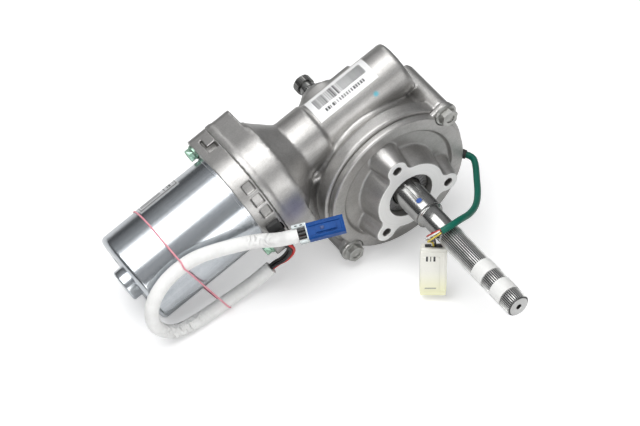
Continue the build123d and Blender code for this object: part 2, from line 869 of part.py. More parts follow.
torsion_front_end = front_pin_station + 5.0
with BuildPart() as torsion_bar:
    with BuildSketch(steering_cut):
        with BuildLine():
            Polyline(
                (rear_pin_station - 6.0, 0),
                (rear_pin_station - 6.0, torsion_end_radius),
                (rear_pin_station + 5.5, torsion_end_radius),
                (rear_pin_station + 9.0, torsion_bar_radius),
                (front_pin_station - 9.0, torsion_bar_radius),
                (front_pin_station - 5.5, torsion_end_radius),
                (torsion_front_end, torsion_end_radius),
                (torsion_front_end, 0),
                close=True,
            )
        make_face()
    revolve(axis=steering_axis)
    for station in (rear_pin_station, front_pin_station):
        with BuildSketch(Plane(origin=place(station, 0, 0), x_dir=steering_way,
                               z_dir=reach_way)):
            Circle(torsion_pin_radius + running_gap)
        extrude(amount=torsion_end_radius + 1, both=True, mode=Mode.SUBTRACT)
ship(torsion_bar.part, "torsion_bar")

with BuildPart() as torsion_bar_pin:
    with BuildSketch(Plane(origin=place(rear_pin_station, 0, 0), x_dir=steering_way,
                           z_dir=reach_way)):
        Circle(torsion_pin_radius)
    extrude(amount=output_body_radius - 0.3, both=True)
ship(torsion_bar_pin.part, "torsion_bar_pin")

with BuildPart() as worm_wheel_hub:
    with BuildSketch(steering_cut):
        with BuildLine():
            Polyline(
                (hub_back, hub_seat_radius + seat_gap),
                (hub_back, hub_seat_radius + 5.0),
                (worm_station - 4.0, hub_seat_radius + 7.0),
                (worm_station - 4.0, wheel_rim_radius - 4.0),
                (worm_station - 0.5 * wheel_width, wheel_rim_radius - 3.0),
                (worm_station - 0.5 * wheel_width, wheel_rim_radius),
                (worm_station + 0.5 * wheel_width, wheel_rim_radius),
                (worm_station + 0.5 * wheel_width, wheel_rim_radius - 3.0),
                (worm_station + 4.0, wheel_rim_radius - 4.0),
                (worm_station + 4.0, hub_seat_radius + 7.0),
                (hub_front, hub_seat_radius + 5.0),
                (hub_front, hub_seat_radius + seat_gap),
                close=True,
            )
        make_face()
    revolve(axis=steering_axis)
    with BuildSketch(steering.offset(worm_station - 5.0)):
        with PolarLocations(0.5 * (hub_seat_radius + 7.0 + wheel_rim_radius - 4.0), 6):
            Circle(2.6)
    extrude(amount=10.0, mode=Mode.SUBTRACT)
ship(worm_wheel_hub.part, "worm_wheel_hub")

# Gear teeth. Wheel and worm are both helical gears cut by one basic rack, with crossed axes

wheel_pitch_radius = 0.5 * wheel_teeth * axial_module
worm_pitch_radius = centre_distance - wheel_pitch_radius
lead_rise = worm_starts * axial_module / (2 * worm_pitch_radius)
wheel_helix = math.atan(lead_rise)
worm_helix = 0.5 * math.pi - wheel_helix
normal_module = axial_module * math.cos(wheel_helix)
worm_lead = worm_starts * math.pi * axial_module


def flank_angle(radius, pitch_radius, helix):
    """The polar angle of an involute flank, measured from where it crosses the pitch circle."""
    transverse = math.atan(math.tan(math.radians(pressure_angle)) / math.cos(helix))
    base = pitch_radius * math.cos(transverse)
    at_radius = math.acos(min(1.0, base / radius))
    return (math.tan(at_radius) - at_radius) - (math.tan(transverse) - transverse)


def tooth_face(plane, pitch_radius, helix, teeth, root, tip, steps):
    """The cross-section of one tooth: two involute flanks between its root and its tip."""
    thinning = tooth_thinning / math.cos(helix) / pitch_radius
    half_tooth = 0.5 * math.pi / teeth - 0.5 * thinning
    flank_start = root + 0.1
    radii = [flank_start + (tip - flank_start) * step / steps for step in range(steps + 1)]
    flank = [(r, half_tooth - flank_angle(r, pitch_radius, helix)) for r in radii]
    upper = [(r * math.cos(a), r * math.sin(a)) for r, a in flank]
    lower = [(r * math.cos(a), -r * math.sin(a)) for r, a in flank]
    foot = 0.8
    with BuildSketch(plane) as section:
        with BuildLine():
            Spline(*upper)
            ThreePointArc(upper[-1], (tip, 0), lower[-1])
            Spline(*lower)
            Polyline(
                upper[0],
                (upper[0][0] - foot, upper[0][1]),
                (lower[0][0] - foot, lower[0][1]),
                lower[0],
            )
        make_face()
    return section.sketch


wheel_root_radius = wheel_pitch_radius - 1.25 * normal_module
wheel_tip_radius = wheel_pitch_radius + 0.95 * normal_module
wheel_back = worm_station - 0.5 * wheel_width
wheel_twist = math.degrees(wheel_width * math.tan(wheel_helix) / wheel_pitch_radius)
wheel_tooth_face = tooth_face(
    facing(place(wheel_back, 0, 0), steering_way, reach_way, -0.5 * wheel_twist),
    wheel_pitch_radius, wheel_helix, wheel_teeth, wheel_root_radius, wheel_tip_radius, 4,
)
wheel_tooth = Solid.extrude_linear_with_rotation(
    wheel_tooth_face.faces()[0],
    place(wheel_back, 0, 0),
    steering_way * wheel_width,
    wheel_twist,
)
with BuildPart() as worm_wheel_rim:
    with BuildSketch(steering.offset(wheel_back)):
        Circle(wheel_root_radius)
        Circle(wheel_rim_radius + seat_gap, mode=Mode.SUBTRACT)
    extrude(amount=wheel_width)
    add([
        wheel_tooth.rotate(steering_axis, 360.0 * tooth / wheel_teeth)
        for tooth in range(wheel_teeth)
    ])
ship(worm_wheel_rim.part, "worm_wheel_rim")

worm_root_radius = worm_pitch_radius - 1.25 * normal_module
worm_tip_radius = worm_pitch_radius + 0.95 * normal_module
worm_half = 0.5 * worm_length
worm_turn = 360.0 * worm_length / worm_lead
worm_thread_back = worm_centre - worm_way * worm_half
worm_thread_face = tooth_face(
    facing(worm_thread_back, worm_way, steering_way, -0.5 * worm_turn),
    worm_pitch_radius, worm_helix, worm_starts, worm_root_radius, worm_tip_radius, 5,
)
worm_thread = Solid.extrude_linear_with_rotation(
    worm_thread_face.faces()[0],
    worm_thread_back,
    worm_way * worm_length,
    worm_turn,
)

coupling_start = drive_boss_end - 1.0
coupling_radius = 13.0
jaw_arc = 46.0
jaw_length = 7.0
hub_thickness = 6.0
spider_start = coupling_start + hub_thickness
jaw_inner = 6.0


def jaws(start, length, first_angle):
    """Three coupling jaws as wedges of a ring, standing from a start along the drive."""
    with BuildPart() as wedges:
        with BuildSketch(drive.offset(start)):
            Circle(coupling_radius)
            Circle(jaw_inner, mode=Mode.SUBTRACT)
            with PolarLocations(0, 3, start_angle=first_angle + 60.0):
                wedge(coupling_radius, 120.0 - jaw_arc)
        extrude(amount=length)
    return wedges.part


with BuildPart() as worm:
    with BuildSketch(drive_cut):
        with BuildLine():
            Polyline(
                (worm_bearing_stations[0], 0),
                (worm_bearing_stations[0], worm_journal_radius),
                (worm_bearing_stations[0] + worm_bearing[2], worm_journal_radius),
                (worm_bearing_stations[0] + worm_bearing[2], worm_journal_radius + 1.5),
                (-worm_half - 2.0, worm_journal_radius + 1.5),
                (-worm_half, worm_core_radius),
                (worm_half, worm_core_radius),
                (worm_half + 2.0, worm_journal_radius + 1.5),
                (worm_bearing_stations[1], worm_journal_radius + 1.5),
                (worm_bearing_stations[1], worm_journal_radius),
                (coupling_start, worm_journal_radius),
                (coupling_start, coupling_radius),
                (coupling_start + hub_thickness, coupling_radius),
                (coupling_start + hub_thickness, 0),
                close=True,
            )
        make_face()
    revolve(axis=drive_axis)
    add(worm_thread)
    add(worm_thread.rotate(drive_axis, 180))
    add(jaws(spider_start, jaw_length - 0.4, 0.0))
ship(worm.part, "worm")

with BuildPart() as worm_bearing_outers:
    for station in worm_bearing_stations:
        add(bearing_outer(drive_cut, drive_axis, station, worm_bearing))
ship(worm_bearing_outers.part, "worm_bearing_outers")
with BuildPart() as worm_bearing_inners:
    for station in worm_bearing_stations:
        add(bearing_inner(drive_cut, drive_axis, station, worm_bearing))
ship(worm_bearing_inners.part, "worm_bearing_inners")

# Threaded ring that holds the worm's bearings, with four spanner slots
with BuildPart() as worm_lock_ring:
    with BuildSketch(drive.offset(worm_bearing_stations[1] + worm_bearing[2])):
        Circle(worm_bore_radius - seat_gap)
        Circle(worm_bore_radius - 5.0, mode=Mode.SUBTRACT)
    extrude(amount=4.0)
    with BuildSketch(drive.offset(lock_ring_end)):
        with PolarLocations(worm_bore_radius - 5.0, 4):
            Rectangle(4.0, 3.0)
    extrude(amount=-2.0, mode=Mode.SUBTRACT)
ship(worm_lock_ring.part, "worm_lock_ring")

# Rubber spider between the two coupling hubs: a hub ring with six pads
pad_arc = 60.0 - jaw_arc
pad_gap = 0.3
pad_root = 2 * jaw_inner * math.sin(math.radians(0.5 * pad_arc)) - 2 * pad_gap
pad_tip = 2 * coupling_radius * math.sin(math.radians(0.5 * pad_arc)) - 2 * pad_gap
with BuildPart() as coupling_spider:
    with BuildSketch(drive.offset(spider_start + 0.4)):
        Circle(jaw_inner - 0.3)
        with PolarLocations(0, 6, start_angle=30):
            Polygon(
                (jaw_inner - 1.0, -0.5 * pad_root),
                (coupling_radius - 0.3, -0.5 * pad_tip),
                (coupling_radius - 0.3, 0.5 * pad_tip),
                (jaw_inner - 1.0, 0.5 * pad_root),
                align=None,
            )
        Circle(2.5, mode=Mode.SUBTRACT)
    extrude(amount=jaw_length - 0.8)
ship(coupling_spider.part, "coupling_spider")

# Motor bracket: the rhombic casting between the drum and the can

bracket_end = motor_joint + bracket_length
can_spigot = 3.0
bearing_hub_radius = motor_bearing[1] + 4.0
front_motor_bearing_end = motor_bearing_stations[0] + motor_bearing[2]
can_inner = can_radius - can_wall
with BuildPart() as motor_bracket:
    with BuildSketch(drive.offset(motor_joint)):
        Circle(motor_flange_radius)
        with PolarLocations(motor_bolt_radius, 2, start_angle=motor_ear_angle):
            Circle(motor_ear_radius)
        make_hull()
    extrude(amount=bracket_length)
    with BuildSketch(drive_cut):
        with BuildLine():
            Polyline(
                (motor_joint - spigot_length, spigot_radius - 3.0),
                (motor_joint - spigot_length, spigot_radius - running_gap),
                (motor_joint, spigot_radius - running_gap),
                (bracket_end, can_inner - running_gap),
                (bracket_end + can_spigot, can_inner - running_gap),
                (bracket_end + can_spigot, can_inner - 2.5),
                (bracket_end, can_inner - 2.5),
                close=True,
            )
        make_face()
    revolve(axis=drive_axis)
    # hollow both sides of the bearing wall
    with BuildSketch(drive_cut):
        with BuildLine():
            Polyline(
                (motor_joint - spigot_length, 0),
                (motor_joint - spigot_length, spigot_radius - 3.0),
                (motor_joint + 3.0, spigot_radius - 3.0),
                (motor_joint + 3.0, bearing_hub_radius),
                (motor_joint, bearing_hub_radius),
                (motor_joint, motor_bearing[1] - 2.0),
                (motor_bearing_stations[0], motor_bearing[1] - 2.0),
                (motor_bearing_stations[0], motor_bearing[1]),
                (front_motor_bearing_end, motor_bearing[1]),
                (front_motor_bearing_end, bearing_hub_radius),
                (motor_joint + 3.0 + 0.7 * bracket_plate, bearing_hub_radius),
                (motor_joint + 3.0 + 0.7 * bracket_plate, can_inner - 2.5),
                (bracket_end + can_spigot, can_inner - 2.5),
                (bracket_end + can_spigot, 0),
                close=True,
            )
        make_face()
    revolve(axis=drive_axis, mode=Mode.SUBTRACT)
    # row of shallow rectangular pockets on the rim, on both broad sides
    for side in (0.0, 180.0):
        for count in range(pocket_count):
            angle = pocket_first_angle + pocket_pitch * count + side
            pocket_plane = Plane(
                origin=worm_centre,
                x_dir=-worm_way,
                z_dir=way(math.cos(math.radians(angle)), 0, math.sin(math.radians(angle))),
            )
            with BuildSketch(pocket_plane.offset(motor_flange_radius + 1.0)):
                with Locations((motor_joint + 1.6 + 0.5 * pocket_length, 0)):
                    RectangleRounded(pocket_length, pocket_width, 0.6)
            extrude(amount=-pocket_depth - 1.0, mode=Mode.SUBTRACT)
    # recess beside each ear's bolt, with a square pad left standing
    for side in (0.0, 180.0):
        flank = motor_ear_angle + 90.0 + side
        flank_plane = Plane(
            origin=worm_centre,
            x_dir=-worm_way,
            z_dir=way(math.cos(math.radians(flank)), 0, math.sin(math.radians(flank))),
        )
        with BuildSketch(flank_plane.offset(20.0)):
            for ear in (-motor_bolt_radius, motor_bolt_radius):
                with Locations((motor_joint + 5.5, ear * 0.93)):
                    RectangleRounded(9.0, 12.0, 1.0)
                with Locations((motor_joint + 4.5, ear)):
                    Rectangle(6.5, 7.0, mode=Mode.SUBTRACT)
        extrude(amount=-14.6, mode=Mode.SUBTRACT)
    # bolt holes
    with BuildSketch(drive.offset(motor_joint)):
        with PolarLocations(motor_bolt_radius, 2, start_angle=motor_ear_angle):
            Circle(3.3)
    extrude(amount=bracket_length, mode=Mode.SUBTRACT)
ship(motor_bracket.part, "motor_bracket")

bolt_plane = drive.offset(bracket_end)
ship(
    flange_bolts(
        bolt_plane,
        [
            polar_spot(motor_bolt_radius, motor_ear_angle),
            polar_spot(motor_bolt_radius, motor_ear_angle + 180.0),
        ],
        3.0, bracket_length + motor_bolt_thread, 9.0, 6.0, motor_bolt_flange,
    ),
    "motor_bolts",
)

# Motor can: a drawn steel cup with a small bearing cup at its back

can_end = bracket_end + can_length
can_boss_end = can_end + can_boss_height
rear_cup_wall = 1.2
with BuildPart() as motor_can:
    with BuildSketch(drive_cut):
        with BuildLine():
            Polyline(
                (bracket_end, can_inner),
                (bracket_end, can_radius + can_rim_step),
                (bracket_end + 2.0, can_radius + can_rim_step),
                (bracket_end + 2.4, can_radius),
                (can_end - 4.0, can_radius),
            )
            RadiusArc((can_end - 4.0, can_radius), (can_end, can_radius - 4.0), 4.0)
            Polyline(
                (can_end, can_radius - 4.0),
                (can_end, can_boss_radius),
                (can_boss_end - 1.0, can_boss_radius),
                (can_boss_end, can_boss_radius - 1.0),
                (can_boss_end, 0),
                (can_boss_end - rear_cup_wall, 0),
                (can_boss_end - rear_cup_wall, motor_bearing[1]),
                (can_end - can_wall, motor_bearing[1]),
                (can_end - can_wall, can_inner),
                (bracket_end, can_inner),
            )
        make_face()
    revolve(axis=drive_axis)
    # two cooling slots beside the bearing cup
    with BuildSketch(drive.offset(can_end)):
        with PolarLocations(can_boss_radius + 7.0, 2, start_angle=-10):
            SlotOverall(11.0, 4.5, rotation=90)
    extrude(amount=-can_wall, mode=Mode.SUBTRACT)
ship(motor_can.part, "motor_can")

magnet_start = bracket_end + 20.0
magnet_outer = can_inner - seat_gap
with BuildPart() as motor_magnets:
    with BuildSketch(drive.offset(magnet_start)):
        Circle(magnet_outer)
        Circle(magnet_outer - magnet_thickness, mode=Mode.SUBTRACT)
        with PolarLocations(0, 2):
            wedge(magnet_outer, 180.0 - magnet_arc)
    extrude(amount=magnet_length)
ship(motor_magnets.part, "motor_magnets")

# Rotor: shaft with its coupling hub, slotted core, windings and commutator

motor_hub_start = spider_start + jaw_length
rotor_radius = 5.5
core_start = magnet_start + 0.5 * (magnet_length - armature_length)
core_end = core_start + armature_length
commutator_start = bracket_end + 2.0
with BuildPart() as motor_shaft:
    with BuildSketch(drive_cut):
        with BuildLine():
            Polyline(
                (motor_hub_start, 0),
                (motor_hub_start, coupling_radius),
                (motor_hub_start + hub_thickness, coupling_radius),
                (motor_hub_start + hub_thickness, motor_bearing[0] + 1.0),
                (motor_bearing_stations[0], motor_bearing[0] + 1.0),
                (motor_bearing_stations[0], motor_bearing[0]),
                (front_motor_bearing_end, motor_bearing[0]),
                (front_motor_bearing_end, rotor_radius),
                (motor_bearing_stations[1] - 0.5, rotor_radius),
                (motor_bearing_stations[1] - 0.5, motor_bearing[0]),
                (motor_bearing_stations[1] + motor_bearing[2] - 0.5, motor_bearing[0]),
                (motor_bearing_stations[1] + motor_bearing[2] - 0.5, 0),
                close=True,
            )
        make_face()
    revolve(axis=drive_axis)
    add(jaws(spider_start + 0.4, jaw_length - 0.4, 60.0))
ship(motor_shaft.part, "motor_shaft")

with BuildPart() as motor_bearing_outers:
    for station in motor_bearing_stations:
        add(bearing_outer(drive_cut, drive_axis, station, motor_bearing))
ship(motor_bearing_outers.part, "motor_bearing_outers")
with BuildPart() as motor_bearing_inners:
    for station in motor_bearing_stations:
        add(bearing_inner(drive_cut, drive_axis, station, motor_bearing))
ship(motor_bearing_inners.part, "motor_bearing_inners")

with BuildPart() as armature_core:
    with BuildSketch(drive.offset(core_start)):
        Circle(armature_radius)
        Circle(rotor_radius + seat_gap, mode=Mode.SUBTRACT)
        with PolarLocations(armature_radius - 0.5 * slot_depth + 0.5, armature_slots):
            Rectangle(slot_depth + 1.0, slot_width, mode=Mode.SUBTRACT)
    extrude(amount=armature_length)
ship(armature_core.part, "armature_core")

# Windings: bars in the slots, joined by a coil head at each end of the core
coil_head = 9.0
slot_floor = armature_radius - slot_depth + 0.3
with BuildPart() as armature_windings:
    with BuildSketch(drive.offset(core_start)):
        with PolarLocations(0.5 * (slot_floor + armature_radius - 1.5), armature_slots):
            Rectangle(armature_radius - 1.5 - slot_floor, slot_width - 0.2)
    extrude(amount=armature_length)
    for start in (core_start - coil_head, core_end):
        with BuildSketch(drive.offset(start)):
            Circle(armature_radius - 1.5)
            Circle(rotor_radius + 1.5, mode=Mode.SUBTRACT)
        extrude(amount=coil_head)
ship(armature_windings.part, "armature_windings")

with BuildPart() as commutator:
    with BuildSketch(drive.offset(commutator_start)):
        Circle(commutator_radius)
        Circle(rotor_radius + seat_gap, mode=Mode.SUBTRACT)
    extrude(amount=commutator_length - 4.0)
    with BuildSketch(drive.offset(commutator_start)):
        with PolarLocations(commutator_radius, commutator_bars):
            Rectangle(1.6, 0.6, mode=Mode.ADD)
    extrude(amount=commutator_length - 4.0, mode=Mode.SUBTRACT)
    with BuildSketch(drive.offset(commutator_start + commutator_length - 4.0)):
        Circle(commutator_radius + 1.6)
        Circle(rotor_radius + seat_gap, mode=Mode.SUBTRACT)
    extrude(amount=2.0)
ship(commutator.part, "commutator")

# Brush gear: a moulded ring on the bracket's spigot, with two brushes on springs

holder_start = bracket_end + can_spigot
holder_thickness = 3.0
brush_width = 8.0
brush_height = 6.0
brush_length = 9.0
brush_floor = commutator_radius + running_gap
channel_end = can_inner - 1.5
with BuildPart() as brush_holder:
    with BuildSketch(drive.offset(holder_start)):
        Circle(can_inner - running_gap)
        Circle(commutator_radius + 3.0, mode=Mode.SUBTRACT)
    extrude(amount=holder_thickness)
    with BuildSketch(drive.offset(holder_start + holder_thickness)):
        with PolarLocations(0.5 * (commutator_radius + 3.0 + channel_end), 2):
            Rectangle(channel_end - commutator_radius - 3.0, brush_width + 3.0)
            Rectangle(channel_end - commutator_radius - 3.0, brush_width + 0.3,
                      mode=Mode.SUBTRACT)
        with PolarLocations(channel_end - 0.75, 2):
            Rectangle(1.5, brush_width + 1.0)
    extrude(amount=brush_height)
ship(brush_holder.part, "brush_holder")

brush_plane = drive.offset(holder_start + holder_thickness + 0.1)
with BuildPart() as brushes:
    with BuildSketch(brush_plane):
        with PolarLocations(brush_floor + 0.5 * brush_length + 0.2, 2):
            Rectangle(brush_length, brush_width)
    extrude(amount=brush_height - 0.2)
ship(brushes.part, "brushes")

spring_start = brush_floor + brush_length + 0.2
spring_length = channel_end - 1.5 - spring_start
spring_wire = 0.45
spring_radius = 2.2
spring_pitch = spring_length / 3.5
spring_coils = []
for side in (0.0, 180.0):
    spring_way = way(math.cos(math.radians(side)), 0, math.sin(math.radians(side)))
    spring_base = Plane(
        origin=drive.offset(holder_start + holder_thickness + 0.5 * brush_height).origin
        + spring_way * (spring_start + spring_wire),
        x_dir=-worm_way,
        z_dir=spring_way,
    )
    coil_path = Edge.make_helix(spring_pitch, spring_length - 2 * spring_wire, spring_radius)
    coil_path = spring_base.location * coil_path
    coil_start_plane = Plane(origin=coil_path @ 0, z_dir=coil_path % 0)
    spring_coils.append((coil_path, coil_start_plane))
with BuildPart() as brush_springs:
    for coil_path, coil_start_plane in spring_coils:
        with BuildSketch(coil_start_plane):
            RegularPolygon(spring_wire, 6)
        sweep(path=coil_path, is_frenet=True)
ship(brush_springs.part, "brush_springs")

# Input shaft: polished sleeve, neck and long splined end, with a spigot into the output shaft

seat_back = input_bearing_station - 1.0
with BuildPart() as input_shaft:
    with BuildSketch(steering_cut):
        with BuildLine():
            Polyline(
                (spigot_shaft_end, 0),
                (spigot_shaft_end, spigot_shaft_radius),
                (dog_station, spigot_shaft_radius),
                (dog_station, sleeve_radius),
                (seat_back, sleeve_radius),
                (seat_back, input_seat_radius + 1.2),
                (input_bearing_station, input_seat_radius + 1.2),
                (input_bearing_station, input_seat_radius),
                (input_bearing_end + 0.8, input_seat_radius),
                (input_bearing_end + 1.6, sleeve_radius),
                (sleeve_end - 2.6, sleeve_radius),
                (sleeve_end - 2.2, sleeve_radius - 0.5),
                (sleeve_end - 1.8, sleeve_radius),
                (sleeve_end - 0.9, sleeve_radius),
                (sleeve_end, sleeve_radius - 0.9),
                (sleeve_end + 0.4, neck_radius),
                (spline_start, neck_radius),
                (spline_start + 0.6, spline_root_radius),
                (resin_ring_starts[0], spline_root_radius),
                (resin_ring_starts[0], resin_groove_radius),
                (resin_ring_starts[0] + resin_ring_width, resin_groove_radius),
                (resin_ring_starts[0] + resin_ring_width, spline_root_radius),
                (resin_ring_starts[1], spline_root_radius),
                (resin_ring_starts[1], resin_groove_radius),
                (resin_ring_starts[1] + resin_ring_width, resin_groove_radius),
                (resin_ring_starts[1] + resin_ring_width, spline_root_radius),
                (shaft_tip - 0.8, spline_root_radius),
                (shaft_tip, spline_root_radius - 0.8),
                (shaft_tip, 0),
                close=True,
            )
        make_face()
    revolve(axis=steering_axis)
    spline_runs = [
        (spline_start + 1.0, resin_ring_starts[0]),
        (resin_ring_starts[0] + resin_ring_width, resin_ring_starts[1]),
        (resin_ring_starts[1] + resin_ring_width, shaft_tip - 0.8),
    ]
    for start, end in spline_runs:
        add(toothed_disc(steering, start, end - start, spline_root_radius, spline_tip_radius,
                         spline_teeth))
    # torsion bar's bore, closed at the front by the solid neck
    with BuildSketch(steering.offset(torsion_front_end + 0.5)):
        Circle(torsion_end_radius + running_gap)
    extrude(amount=-11.0, mode=Mode.SUBTRACT)
    with BuildSketch(steering.offset(torsion_front_end - 10.5)):
        Circle(torsion_end_radius + 0.4)
    extrude(amount=spigot_shaft_end - torsion_front_end + 10.5, mode=Mode.SUBTRACT)
    # cross hole for the torsion bar's pin, and the small hole beside it
    with BuildSketch(Plane(origin=place(front_pin_station, 0, 0), x_dir=steering_way,
                           z_dir=reach_way)):
        Circle(torsion_pin_radius + seat_gap)
    extrude(amount=sleeve_radius + 1, both=True, mode=Mode.SUBTRACT)
    with BuildSketch(Plane(origin=place(front_pin_station - 7.5, 0, 0), x_dir=steering_way,
                           z_dir=way(0, 0.45, 0.9))):
        Circle(0.8)
    extrude(amount=sleeve_radius + 1, mode=Mode.SUBTRACT)
    # two stop dogs behind the sleeve
    with BuildSketch(steering.offset(dog_station)):
        Rectangle(2 * dog_radius, dog_width)
        Circle(spigot_shaft_radius - 0.5, mode=Mode.SUBTRACT)
    extrude(amount=-dog_length, mode=Mode.ADD)
    # centre drilling in the end face
    with BuildSketch(steering.offset(shaft_tip)):
        Circle(1.9)
    extrude(amount=-4.0, taper=12, mode=Mode.SUBTRACT)
ship(input_shaft.part, "input_shaft")

with BuildPart() as input_pin:
    with BuildSketch(Plane(origin=place(front_pin_station, 0, 0), x_dir=steering_way,
                           z_dir=reach_way)):
        Circle(torsion_pin_radius)
    extrude(amount=sleeve_radius - 0.2, both=True)
ship(input_pin.part, "input_pin")

# Split resin rings that grip the steering column's outer tube
with BuildPart() as spline_rings:
    for start in resin_ring_starts:
        with BuildSketch(steering.offset(start + 0.1)):
            Circle(resin_ring_radius)
            Circle(resin_groove_radius + seat_gap, mode=Mode.SUBTRACT)
            with Locations(polar_spot(resin_ring_radius - 1.0, 172)):
                Rectangle(6.0, resin_slit, mode=Mode.SUBTRACT)
        extrude(amount=resin_ring_width - 0.2)
ship(spline_rings.part, "spline_rings")

# Sensor rings: castellated steel rings, one on each shaft, with their teeth face to face


def sensor_ring(start, length, inner, outer, tooth_from, tooth_length, teeth):
    """A ring with square teeth standing on one end."""
    with BuildPart() as castle:
        with BuildSketch(steering.offset(start)):
            Circle(outer)
            Circle(inner, mode=Mode.SUBTRACT)
        extrude(amount=length)
        with BuildSketch(steering.offset(tooth_from)):
            with PolarLocations(outer - 0.75, teeth):
                Rectangle(1.5, 2.6)
        extrude(amount=tooth_length)
    return castle.part


sensor_ring_outer = coil_inner - 0.8
ship(
    sensor_ring(output_front_end - 7.0, 5.0, front_seat_radius + seat_gap, sensor_ring_outer,
                output_front_end - 2.0, 1.6, 16),
    "output_sensor_ring",
)
ship(
    sensor_ring(dog_station + 1.4, 3.1, sleeve_radius + seat_gap, sensor_ring_outer,
                dog_station - 0.2, 1.6, 16),
    "input_sensor_ring",
)

# Motor lead: rubber elbow boot on the bracket's flank, a sleeved loop and its connector

flank_angle_deg = motor_ear_angle + math.degrees(
    math.acos((motor_flange_radius - motor_ear_radius) / motor_bolt_radius)
)
flank_normal = way(math.cos(math.radians(flank_angle_deg)), 0,
                   math.sin(math.radians(flank_angle_deg)))
lead_grommet_plane = Plane(origin=worm_centre, x_dir=-worm_way, z_dir=flank_normal)
grommet_drop = 12.1
grommet_station = motor_joint + 7.5
grommet_length = 15.0
grommet_height = 3.0
spout_length = 6.0
spout_height = 4.9
with BuildPart() as lead_grommet:
    with BuildSketch(lead_grommet_plane.offset(motor_flange_radius)):
        with Locations((grommet_station, grommet_drop)):
            RectangleRounded(11.0, grommet_length, 2.0)
    extrude(amount=grommet_height, taper=8)
    with BuildSketch(lead_grommet_plane.offset(motor_flange_radius)):
        with Locations((grommet_station, grommet_drop + 0.5 * (grommet_length - spout_length))):
            RectangleRounded(7.0, spout_length, 1.5)
    extrude(amount=spout_height)
ship(lead_grommet.part, "lead_grommet")


def cord_solid(points, radius):
    """A round lead: straight runs joined by arcs as large as the runs allow."""
    places = [place(*point) for point in points]
    runs = [(b - a).length for a, b in zip(places, places[1:])]
    radii = []
    for i in range(1, len(places) - 1):
        half = math.radians((places[i] - places[i - 1]).get_angle(places[i + 1] - places[i])) / 2
        radii.append(0.45 * min(runs[i - 1], runs[i]) / math.tan(half))
    print("arc radii", [round(r, 1) for r in radii])
    with BuildPart() as cord:
        with BuildLine():
            route = FilletPolyline(*places, radius=radii)
        with BuildSketch(Plane(origin=route @ 0, z_dir=route % 0)):
            Circle(radius)
        sweep(path=route)
    length = route.length
    print("length", round(length, 1), "volume ratio",
          round(cord.part.volume / (math.pi * radius**2 * length), 4))
    return cord.part


# Blue plug on the motor lead, where the sleeve starts
plug_length = 27.0
plug_width = 12.5
plug_height = 11.5
plug_wall = 1.4
plug_mouth = 3.5
retainer_length = 7.0
plug_spot = (1.5, -65.8, 37.1)
plug_heading = (0.39, 0.904, -0.177)
plug_reach = 0.5 * plug_length + retainer_length


def behind_plug(distance):
    """A point behind the plug's middle, on the plug's own axis."""
    return tuple(spot - distance * step for spot, step in zip(plug_spot, plug_heading))


def past(start, end, distance):
    """The point that lies a distance beyond an end, on the line from a start."""
    reach = math.dist(start, end)
    return tuple(e + distance * (e - s) / reach for s, e in zip(start, end))


sleeve_route = [
    behind_plug(plug_reach),
    behind_plug(plug_reach + 9.0),
    (-10.0, -100.0, 49.5),
    (-13.6, -109.8, 57.0),
    (-17.2, -122.3, 62.7),
    (-21.0, -137.2, 69.0),
    (-24.0, -152.6, 74.0),
    (-24.8, -168.2, 75.2),
    (-24.0, -182.8, 73.0),
    (-21.0, -195.4, 68.0),
    (-20.0, -202.0, 57.4),
    (-21.4, -203.8, 42.5),
    (-22.7, -199.2, 27.6),
    (-23.0, -189.4, 17.9),
    (-24.9, -172.2, 11.1),
    (-28.8, -151.4, 2.9),
    (-30.5, -134.0, -1.9),
    (-30.2, -120.0, -2.2),
    (-28.8, -110.5, 0.5),
]
motor_wire_route = [
    (-17.0, -93.5, 37.3),
    (-15.7, -93.5, 29.4),
    (-16.0, -91.3, 21.1),
    (-19.1, -94.4, 12.8),
    (-23.2, -100.4, 6.0),
    past(sleeve_route[-2], sleeve_route[-1], 5.5),
    sleeve_route[-1],
]
ship(cord_solid(sleeve_route, sleeve_lead_radius), "motor_lead_sleeve")
ship(cord_solid(motor_wire_route, motor_wire_radius), "motor_lead_wires")

# The plug is a shell with a latch, an open mouth and a web between two terminal wells
plug_way = way(*plug_heading)
plug_side = way(0.8, -0.42, -0.38)
plug_tail = place(*plug_spot) - plug_way * 0.5 * plug_length
plug_plane = Plane(origin=plug_tail, x_dir=plug_side, z_dir=plug_way)
with BuildPart() as motor_plug:
    with BuildSketch(plug_plane):
        RectangleRounded(plug_width, plug_height, 1.2)
    extrude(amount=plug_length)
    with BuildSketch(plug_plane.offset(plug_length)):
        RectangleRounded(plug_width - 2 * plug_wall, plug_height - 2 * plug_wall, 0.8)
        Rectangle(1.2, plug_height - 2 * plug_wall, mode=Mode.SUBTRACT)
    extrude(amount=-plug_mouth, mode=Mode.SUBTRACT)
    with BuildSketch(plug_plane.offset(6.0)):
        with Locations((0, -0.5 * plug_height - 0.9)):
            Rectangle(5.0, 1.8)
    extrude(amount=15.0)
ship(motor_plug.part, "motor_plug")

with BuildPart() as plug_retainer:
    with BuildSketch(plug_plane):
        RectangleRounded(plug_width + 0.6, plug_height + 0.6, 1.4)
        RectangleRounded(plug_width - 3.0, plug_height - 3.0, 1.0, mode=Mode.SUBTRACT)
    extrude(amount=-retainer_length)
ship(plug_retainer.part, "plug_retainer")

